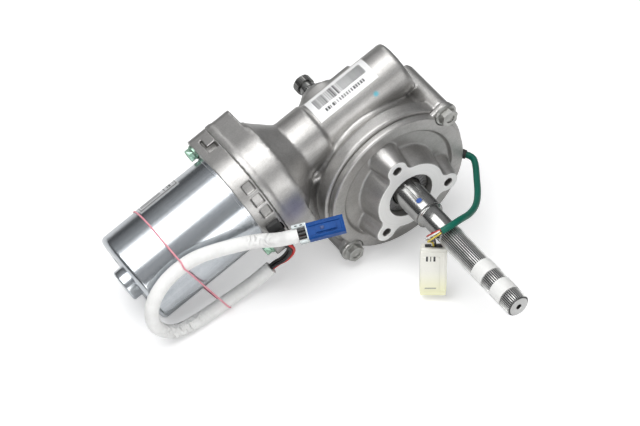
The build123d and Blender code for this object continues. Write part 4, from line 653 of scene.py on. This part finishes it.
def cast_skin(node, voxel, rounds, fillers):
    """A cast node's copy joined with turned fillers, each a profile of (along, radius)
    carried round an axis; the whole is cut into voxels and softened in rounds."""
    mesh = frame["nodes"][node].data.copy()
    work = bmesh.new()
    work.from_mesh(mesh)
    bmesh.ops.remove_doubles(work, verts=work.verts, dist=merge_distance)
    for centre, along, start_way, profile in fillers:
        profile = np.asarray(profile, dtype=float)
        points = around(centre, along, start_way, profile[:, :1], profile[:, 1:],
                        full_turn(filler_steps))
        filler = grid_mesh("filler", points, wrap_v=True)
        close_ends(filler)
        work.from_mesh(filler)
        bpy.data.meshes.remove(filler)
    work.to_mesh(mesh)
    work.free()
    made = stand_for(node, mesh)
    remesh = made.modifiers.new("one skin", "REMESH")
    remesh.mode = "VOXEL"
    remesh.voxel_size = voxel * mm
    remesh.adaptivity = 0.0
    remesh.use_smooth_shade = True
    soften = made.modifiers.new("cast corners", "SMOOTH")
    soften.factor = cast_softness
    soften.iterations = rounds


own_shape = {
    "motor_lead_sleeve", "motor_lead_wires", "sensor_lead", "sensor_wires",
    "gear_housing", "sensor_cover", "motor_bracket", "input_shaft", "rubber_band",
    "tube_label", "can_label", "plug_retainer", "sensor_plug",
}
skins = {node: smooth_copy(node) for node in slot_of if node not in own_shape}
chamber_filler = [
    (-31, 0), (-31, 52), (-50, 52), (-50, 48), (-78, 47), (-86, 20), (-118, 19.5), (-118, 0),
]
tube_filler = [(-48, 0), (-48, 16), (45, 16), (47, 18), (62, 34), (79, 34), (79, 0)]
cast_skin("gear_housing", voxel=1.15, rounds=4, fillers=[
    (steering_centre, steering_way, worm_way, chamber_filler),
    (worm_centre, drive_way, steering_way, tube_filler),
])
cover_filler = [(-24.8, 19.5), (-24.8, 46), (-20.0, 46), (-20.0, 19.5), (-24.8, 19.5)]
cast_skin("sensor_cover", voxel=0.66, rounds=3, fillers=[
    (steering_centre, steering_way, worm_way, cover_filler),
])
bracket_filler = [(84, 0), (84, 31), (102, 33), (102, 0)]
cast_skin("motor_bracket", voxel=0.6, rounds=3, fillers=[
    (worm_centre, drive_way, steering_way, bracket_filler),
])


# Input shaft: the CAD copy behind the spline, and the toothed end as one grid

spline_teeth = 36
tooth_steps = 14
tooth_top = 1.75
tooth_slope = 5.2
spline_cut = 47.5 * mm


def cut_shaft(node, station):
    """The shaft's CAD copy, cut off square at a station where the toothed grid takes over."""
    made = smooth_copy(node)
    made.modifiers.clear()
    work = bmesh.new()
    work.from_mesh(made.data)
    every = work.verts[:] + work.edges[:] + work.faces[:]
    bmesh.ops.bisect_plane(work, geom=every, plane_co=(station, 0, 0), plane_no=(1, 0, 0),
                           clear_outer=True)
    work.to_mesh(made.data)
    work.free()


def spline_end(name, stations, finish, body):
    """A shaft end as stations by angles: radius = root + height * tooth(angle), where
    tooth is a trapezoid wave that is eased as wave * wave * (3 - 2 * wave)."""
    angle, wave = teeth_round(spline_teeth, tooth_steps, tooth_top, tooth_slope)
    tooth = wave * wave * (3 - 2 * wave)
    along, root, height = np.asarray(stations, dtype=float).T[..., None]
    points = around(steering_centre, steering_way, worm_way, along, root + height * tooth,
                    angle)
    made = surface(name, points, finish, body, wrap_v=True)
    close_ends(made.data)
    return made


spline_stations = [
    (47.4, 8.58, 0.0), (48.0, 8.6, 0.0), (48.6, 8.1, 0.4), (49.6, 7.95, 1.0),
    (60.0, 7.95, 1.0), (72.0, 7.95, 1.0), (86.4, 7.95, 1.0), (86.9, 7.95, 0.75),
    (87.0, 7.7, 0.0), (98.6, 7.7, 0.0), (98.7, 7.95, 0.75), (99.1, 7.95, 1.0),
    (108.5, 7.95, 1.0), (108.9, 7.95, 0.75), (109.0, 7.7, 0.0), (120.6, 7.7, 0.0),
    (120.7, 7.95, 0.75), (121.1, 7.95, 1.0), (130.2, 7.95, 1.0), (131.1, 7.9, 0.5),
    (131.7, 7.7, 0.0), (131.95, 7.2, 0.0), (132.0, 6.9, 0.0), (132.0, 2.4, 0.0),
    (131.7, 2.05, 0.0), (129.2, 1.5, 0.0), (128.2, 0.0, 0.0),
]
cut_shaft("input_shaft", spline_cut)
shaft_end = spline_end("input_spline", spline_stations, "spline_steel",
                       body_of["input_shaft"])
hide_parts("input_shaft")


# Finger ring in the flange's mouth: pressed steel fingers that lie on the seal

finger_steps = 12
finger_top = 1.5
finger_slope = 6.0
finger_height = 0.75
finger_base = 0.25


def finger_ring(name, finish, body, station, inner, outer, fingers):
    """Radii by angles: height = finger height * share(radius) * wave(angle), with steep
    flanks between the fingers and a flat underside."""
    angle, wave = teeth_round(fingers, finger_steps, finger_top, finger_slope)
    radii = np.array([inner, inner + 0.3, inner + 1.2, outer - 1.0, outer - 0.3, outer])
    share = np.array([0.0, 0.9, 1.0, 1.0, 0.6, 0.0])
    height = station + finger_height * share[:, None] * wave[None]
    low = np.full_like(height, station - finger_base)
    points = around(steering_centre, steering_way, worm_way,
                    np.concatenate([height, low[::-1]]),
                    np.concatenate([radii, radii[::-1]])[:, None], angle)
    surface(name, points, finish, body, wrap_u=True, wrap_v=True)


finger_ring("seal_fingers", "dark_steel", "gearbox",
            station=-5.9, inner=12.1, outer=17.9, fingers=30)


# Labels: thin skins bent round the worm tube and the can, each with its own flat map

label_lift = 0.15
rim_lift = 0.01
label_rows = 24
label_columns = 40


def bent_label(node, radius, start, length, first_angle, last_angle):
    """Along by angle: point = centre + (start + length * u) along the axis + (radius + lift)
    round it at the angle for v. The sheet is proud by its lift, and its rim is folded down."""
    u = np.concatenate([[0.0], np.linspace(0.0, 1.0, label_rows), [1.0]])
    v = np.concatenate([[0.0], np.linspace(0.0, 1.0, label_columns), [1.0]])
    radii = np.full((len(u), len(v)), radius + label_lift)
    radii[[0, -1], :] = radius + rim_lift
    radii[:, [0, -1]] = radius + rim_lift
    angle = np.radians(first_angle + (last_angle - first_angle) * v)
    points = around(worm_centre, drive_way, steering_way, (start + length * u)[:, None],
                    radii, angle)
    made = surface(node + "_skin", points, slot_of[node], body_of[node])
    layer = made.data.uv_layers.new(name="flat")
    corner = np.empty(len(made.data.loops), dtype=np.int32)
    made.data.loops.foreach_get("vertex_index", corner)
    flat = np.stack(np.broadcast_arrays(u[:, None], v[None, :]), axis=-1).reshape(-1, 2)
    layer.data.foreach_set("uv", flat[corner].ravel().astype(np.float32))
    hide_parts(node)


bent_label("tube_label", radius=20.52, start=20.0, length=-53.0,
           first_angle=57.5, last_angle=127.5)
bent_label("can_label", radius=36.72, start=126.0, length=35.0,
           first_angle=114.0, last_angle=148.0)


# Elastic band: drawn round the can and over both runs of the sleeve

band_steps = 360
band_section_steps = 10
sway_height = 0.5
sway_waves = 3
pull_way = np.array([0.64, -0.77])
pull_start = 5.0
pull_reach = 50.0
pull_limit = 1.2
pull_back = 8.0


def elastic_band(node, circles, station, width, thickness):
    """Normal angle by section: each point lies on the circle that reaches furthest that way,
    so the straight runs come from jumps between circles. Along the can's axis the band is
    at station + sway * sin(waves * angle) - pull back * pull * pull, where pull grows with
    the way down towards the sleeve's low run."""
    angle = full_turn(band_steps)
    outward = np.stack([np.cos(angle), np.sin(angle)], axis=-1)
    centres = np.array([circle[:2] for circle in circles])
    reach = np.array([circle[2] for circle in circles])
    furthest = np.argmax(outward @ centres.T + reach, axis=1)
    path = centres[furthest] + reach[furthest, None] * outward
    turn = full_turn(band_section_steps)
    rise = 0.5 * thickness * (1 + np.cos(turn))
    side = 0.5 * width * np.sin(turn)
    flat = path[:, None] + rise[None, :, None] * outward[:, None]
    sway = sway_height * np.sin(sway_waves * angle)
    pull = np.clip((path @ pull_way - pull_start) / pull_reach, 0.0, pull_limit)
    along = station + side[None] + (sway - pull_back * pull ** 2)[:, None]
    points = worm_centre + (
        flat[..., 0, None] * steering_way
        + flat[..., 1, None] * reach_way
        + along[..., None] * drive_way
    ) * mm
    made = surface(node + "_skin", points, slot_of[node], body_of[node],
                   wrap_u=True, wrap_v=True)
    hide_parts(node)


can_circle = (0.0, 0.0, 36.78)
upper_run_circle = (37.6, 25.1, 5.5)
lower_run_circle = (33.9, -45.6, 5.5)
elastic_band("rubber_band", [can_circle, lower_run_circle, upper_run_circle],
             station=162.6, width=1.3, thickness=0.8)


# Plugs: rounded bars that are lofted through rows of sections

corner_steps = 5
widest_corner = 0.98


def rounded_bar(name, finish, root, along, across, sections, corner):
    """Rows along by corners round: each section is (distance, half width, half height,
    shift across, shift up) of a rectangle whose four corners are quarter circles, and a
    point on one is the corner's centre + bend * (cos(turn), sin(turn))."""
    up = np.cross(along, across)
    quarter = np.linspace(0, 0.5 * np.pi, corner_steps)
    outline = []
    for number, (sx, sy) in enumerate(((1, 1), (-1, 1), (-1, -1), (1, -1))):
        turn = quarter + 0.5 * np.pi * number
        outline.append(np.stack([np.full(corner_steps, sx), np.full(corner_steps, sy),
                                 np.cos(turn), np.sin(turn)], axis=-1))
    outline = np.concatenate(outline)
    rows = []
    for distance, half_width, half_height, shift, lift in sections:
        bend = min(corner, widest_corner * half_width, widest_corner * half_height)
        x = shift + outline[:, 0] * (half_width - bend) + bend * outline[:, 2]
        y = lift + outline[:, 1] * (half_height - bend) + bend * outline[:, 3]
        rows.append(root + (distance * along + x[:, None] * across + y[:, None] * up) * mm)
    first = np.broadcast_to(rows[0].mean(axis=0), rows[0].shape)
    last = np.broadcast_to(rows[-1].mean(axis=0), rows[-1].shape)
    points = np.stack([first, *rows, last])
    made = surface(name, points, finish, "gearbox", wrap_v=True)
    close_ends(made.data)
    return made


def ended(start, end, half_width, half_height, shift=0.0, lift=0.0, edge=0.35):
    """Sections of a straight bar whose two ends are softened."""
    return [
        (start, half_width - edge, half_height - edge, shift, lift),
        (start + edge, half_width, half_height, shift, lift),
        (end - edge, half_width, half_height, shift, lift),
        (end, half_width - edge, half_height - edge, shift, lift),
    ]


plug_heading = np.array([0.39, 0.904, -0.177])
plug_spot = np.array([1.5, -65.8, 37.1])
plug_along = way(*plug_heading)
plug_across = way(0.8, -0.42, -0.38)
plug_back = 13.5 * mm
plug_tail = place(*plug_spot) - plug_back * plug_along
wire_corner = 1.1
plug_corner = 0.5
plug_parts = [
    ("retainer_upper_prong", "clear_plastic", ended(-10.5, 0.4, 1.3, 3.6, -6.0, -1.0)),
    ("retainer_lower_prong", "clear_plastic", ended(-6.8, 0.4, 0.9, 3.4, 5.9, -1.0)),
    ("retainer_collar", "clear_plastic", ended(-1.0, 0.3, 6.0, 5.5, 0.0, 0.0, 0.25)),
    # Painted shade: black bars standing in for the shade inside the prongs' slots.
    ("prong_slot_outer", "black_plastic", ended(-4.4, -2.4, 0.45, 0.5, -6.0, -4.5)),
    ("prong_slot_inner", "black_plastic", ended(-8.2, -6.2, 0.45, 0.5, -6.0, -4.5)),
    ("plug_wire_first", "black_wire", ended(-8.2, 0.0, 1.25, 1.25, -2.6, -2.4)),
    ("plug_wire_second", "black_wire", ended(-8.2, 0.0, 1.25, 1.25, 0.1, -3.0)),
    ("plug_wire_third", "black_wire", ended(-8.2, 0.0, 1.25, 1.25, 2.8, -2.4)),
    ("plug_wire_fourth", "red_wire", ended(-8.2, 0.0, 1.25, 1.25, 0.4, 2.4)),
    ("plug_side_rail", "blue_plastic", ended(1.5, 26.0, 0.7, 0.5, -3.6, -6.0)),
    ("plug_low_rail", "blue_plastic", ended(1.5, 26.0, 0.7, 0.5, 4.6, -6.0)),
    ("plug_end_rib", "blue_plastic", ended(24.4, 26.2, 5.8, 0.4, 0.0, -6.0)),
    # Painted shade: dark blue sheets standing in for the shade inside the window and the mouth.
    ("plug_window", "painted_shade_blue", ended(9.5, 12.5, 1.3, 0.3, 0.2, -7.75)),
    ("plug_mouth_shade", "painted_shade_blue", ended(-0.2, 0.2, 2.2, 3.4, 2.8, -1.6)),
]
plug_pieces = {
    name: rounded_bar(name, finish, plug_tail, plug_along, plug_across, sections,
                      wire_corner if "wire" in name else plug_corner)
    for name, finish, sections in plug_parts
}
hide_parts("plug_retainer")

socket_top = place(37.2, -11.4, -13.5)
socket_foot = place(46.0, -31.3, -47.1)
socket_down = unit(socket_foot - socket_top)
socket_across = way(0.554, 0.772, -0.312)
socket_across = unit(socket_across - socket_down * (socket_across @ socket_down))
socket_corner = 0.6
socket_parts = [
    ("sensor_plug_skin", "ivory_plastic", [
        (0.4, 8.9, 3.7, 0.0, 0.0), (0.9, 9.3, 4.1, 0.0, 0.0), (3.0, 9.3, 4.1, 0.0, 0.0),
        (3.2, 9.7, 4.5, 0.0, 0.0), (36.0, 9.7, 4.5, 0.0, 0.0), (36.3, 9.3, 4.1, 0.0, 0.0),
        (39.4, 9.3, 4.1, 0.0, 0.0), (39.9, 8.9, 3.7, 0.0, 0.0),
    ]),
    ("plug_front_panel", "ivory_plastic", ended(7.0, 35.0, 6.6, 0.6, -2.0, 4.3)),
    ("plug_side_step", "ivory_plastic", ended(4.0, 35.5, 1.0, 0.5, 7.6, 4.35)),
    ("plug_latch_first", "black_plastic", ended(6.6, 10.8, 0.75, 0.25, -4.9, 4.8)),
    ("plug_latch_second", "black_plastic", ended(6.6, 10.8, 0.35, 0.25, -2.2, 4.8)),
    ("plug_latch_third", "black_plastic", ended(6.6, 10.8, 0.75, 0.25, 0.5, 4.8)),
    # Painted shade: a grey sheet standing in for the shade in the slot at the plug's foot.
    ("plug_foot_slot", "label_shade", ended(32.6, 33.6, 4.2, 0.2, -2.0, 4.85)),
    ("wire_entry", "black_plastic", ended(-0.05, 0.7, 6.4, 2.2, 0.0, 0.0)),
]
socket_pieces = {
    name: rounded_bar(name, finish, socket_top, socket_down, socket_across, sections,
                      socket_corner)
    for name, finish, sections in socket_parts
}
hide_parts("sensor_plug")


# Cords: smooth curves drawn towards the points of the CAD routes

sleeve_diameter = 10.4 * mm
motor_wire_diameter = 2.3 * mm
sensor_lead_diameter = 5.0 * mm
sensor_wire_diameter = 1.25 * mm
motor_wire_tuck = 5.5 * mm
sensor_wire_tuck = 5.0 * mm


def cord_curve(name, points, diameter, finish):
    """A round cord along a smooth curve that is drawn towards each of its points."""
    data = bpy.data.curves.new(name, "CURVE")
    data.dimensions = "3D"
    data.bevel_depth = 0.5 * diameter
    data.bevel_resolution = 6
    data.resolution_u = 16
    data.use_fill_caps = True
    line = data.splines.new("NURBS")
    line.points.add(len(points) - 1)
    coordinates = np.ones((len(points), 4))
    coordinates[:, :3] = points
    line.points.foreach_set("co", coordinates.ravel())
    line.order_u = 3
    line.use_endpoint_u = True
    data.materials.append(finishes[finish])
    made = bpy.data.objects.new(name, data)
    bpy.context.scene.collection.objects.link(made)
    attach(made, "gearbox")
    return made


def route(*rows):
    """Points from rows of three distances in millimetres."""
    return np.array([place(*row) for row in rows])


def past(start, end, distance):
    """The point that lies a distance in metres beyond an end, on the line from a start."""
    return end + distance * unit(end - start)


sleeve_points = route(
    plug_spot - 20.5 * plug_heading, plug_spot - 29.5 * plug_heading,
    (-10.0, -100.0, 49.5), (-13.6, -109.8, 57.0), (-17.2, -122.3, 62.7),
    (-21.0, -137.2, 69.0), (-24.0, -152.6, 74.0), (-24.8, -168.2, 75.2),
    (-24.0, -182.8, 73.0), (-21.0, -195.4, 68.0), (-20.0, -202.0, 57.4),
    (-21.4, -203.8, 42.5), (-22.7, -199.2, 27.6), (-23.0, -189.4, 17.9),
    (-24.9, -172.2, 11.1), (-28.8, -151.4, 2.9), (-30.5, -134.0, -1.9),
    (-30.2, -120.0, -2.2), (-28.8, -110.5, 0.5),
)
motor_wire_points = np.array([
    *route((-17.0, -93.5, 37.3), (-15.7, -93.5, 29.4), (-16.0, -91.3, 21.1),
           (-19.1, -94.4, 12.8), (-23.2, -100.4, 6.0)),
    past(sleeve_points[-2], sleeve_points[-1], motor_wire_tuck),
    sleeve_points[-1],
])
nozzle_angle = math.radians(31.0)
nozzle_station = -25.25
nozzle_radius = 61.0
nozzle_out = np.array([0.0, math.cos(nozzle_angle), -math.sin(nozzle_angle)])
nozzle_heading = unit(np.array([0.75, 0.0, 0.0]) + 0.66 * nozzle_out)
nozzle_root = np.array([nozzle_station, 0.0, 0.0]) + nozzle_radius * nozzle_out
sensor_points = route(
    nozzle_root + 6.0 * nozzle_heading, nozzle_root + 11.0 * nozzle_heading,
    (-9.0, 55.9, -33.6), (4.0, 48.6, -29.0), (19.8, 40.2, -22.2), (33.7, 31.4, -13.4),
    (42.7, 21.6, -3.6), (48.6, 11.9, 7.6), (51.2, 3.3, 12.6), (50.0, -4.1, 13.0),
)
sensor_wire_points = np.array([
    sensor_points[-1],
    past(sensor_points[-2], sensor_points[-1], sensor_wire_tuck),
    *route((44.5, -13.5, 8.0), (39.5, -13.5, 0.5)),
    past(socket_foot, socket_top, sensor_wire_tuck),
    socket_top,
])


def strands(node, wires, points, diameter, spread, fan, across, turn):
    """Thin wires side by side in a bundle, as (wire, its points): each keeps its own offset,
    which the fan widens between the ends."""
    made = []
    direction = unit(points[-1] - points[0])
    first_way = unit(across - direction * (across @ direction))
    second_way = np.cross(direction, first_way)
    share = np.sin(np.linspace(0, np.pi, len(points)))[:, None]
    for number, (name, colour) in enumerate(wires):
        angle = 2 * np.pi * number / len(wires) + turn
        offset = spread * (math.cos(angle) * first_way + math.sin(angle) * second_way)
        run = points + offset * (1 + fan * share)
        wire = cord_curve(name, run, diameter, colour)
        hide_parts(node)
        made.append((wire, run))
    return made


sleeve = cord_curve("motor_lead_sleeve_cord", sleeve_points, sleeve_diameter, "white_sleeve")
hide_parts("motor_lead_sleeve")
motor_wires = strands(
    "motor_lead_wires",
    [("motor_wire_first", "black_wire"), ("motor_wire_second", "black_wire"),
     ("motor_wire_third", "black_wire"), ("motor_wire_red", "red_wire")],
    motor_wire_points, motor_wire_diameter,
    spread=1.6 * mm, fan=0.35, across=way(0.75, 0.5, -0.55), turn=0.5 * np.pi,
)
sensor_lead = cord_curve("sensor_lead_cord", sensor_points, sensor_lead_diameter,
                         "green_sheath")
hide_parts("sensor_lead")
sensor_wires = strands(
    "sensor_wires",
    [("sensor_wire_black", "black_wire"), ("sensor_wire_yellow", "yellow_wire"),
     ("sensor_wire_white", "white_wire"), ("sensor_wire_red", "red_wire"),
     ("sensor_wire_brown", "brown_wire")],
    sensor_wire_points, sensor_wire_diameter,
    spread=1.25 * mm, fan=0.7, across=socket_across, turn=0.5,
)


# Bench, room and lamps

bench_half = 4.0
bench_white = (0.88, 0.88, 0.88)
glow_colour = (1.0, 1.0, 1.0)
room_colour = (0.97, 0.98, 1.0)
bench_glow = 0.34
room_fill = 0.22
low_reflection = 0.12
high_reflection = 0.45


def make_bench_material():
    """Matt white that the camera sees a little brighter, so that only shadows are grey."""
    material, tree, sockets = new_material("white bench")
    camera_ray = add_node(tree, "ShaderNodeLightPath").outputs["Is Camera Ray"]
    feed(tree, sockets["Base Color"], bench_white)
    feed(tree, sockets["Roughness"], 0.7)
    feed(tree, sockets["Specular IOR Level"], 0.1)
    feed(tree, sockets["Emission Color"], glow_colour)
    feed(tree, sockets["Emission Strength"], calc(tree, "MULTIPLY", camera_ray, bench_glow))
    return material


def stage_sheet(name, half, height, material):
    """A flat square sheet at a height: half its width times two parameters, -1 or 1 each."""
    side = np.array([-half, half])
    x, y = np.meshgrid(side, side, indexing="ij")
    mesh = grid_mesh(name, np.stack([x, y, np.full((2, 2), height)], axis=-1))
    mesh.materials.append(material)
    made = bpy.data.objects.new(name, mesh)
    bpy.context.scene.collection.objects.link(made)


def make_studio():
    """A dim even room whose reflections grow brighter from the bench's level upwards."""
    world = bpy.data.worlds.new("studio")
    world.use_nodes = True
    tree = world.node_tree
    direction = add_node(tree, "ShaderNodeTexCoord").outputs["Generated"]
    shade = ramp(tree, split(tree, direction)[2], 0.15, 0.8, low_reflection,
                 high_reflection, "SMOOTHSTEP")
    glossy_ray = add_node(tree, "ShaderNodeLightPath").outputs["Is Glossy Ray"]
    room = tree.nodes["Background"].inputs
    feed(tree, room["Strength"], blend(tree, glossy_ray, room_fill, shade, "FLOAT"))
    feed(tree, room["Color"], room_colour)
    return world


def area_lamp(name, spot, aim, width, height, watts):
    """A soft rectangular lamp at a spot, turned to its aim."""
    data = bpy.data.lights.new(name, "AREA")
    data.shape = "RECTANGLE"
    data.size = width
    data.size_y = height
    data.energy = watts
    stand(bpy.data.objects.new(name, data), spot, aim)


stage_sheet("bench", bench_half, bench_height, make_bench_material())
bpy.context.scene.world = make_studio()
area_lamp("overhead softbox", spot=(-0.06, -0.45, 1.2), aim=(-0.05, -0.08, 0.0),
          width=1.15, height=1.3, watts=17.0)
area_lamp("left panel", spot=(-1.1, 0.35, 0.9), aim=(-0.05, -0.05, 0.0),
          width=0.5, height=0.5, watts=1.6)
area_lamp("low right panel", spot=(1.3, -0.25, 0.27), aim=(0.0, 0.0, 0.0),
          width=1.2, height=0.5, watts=6.0)
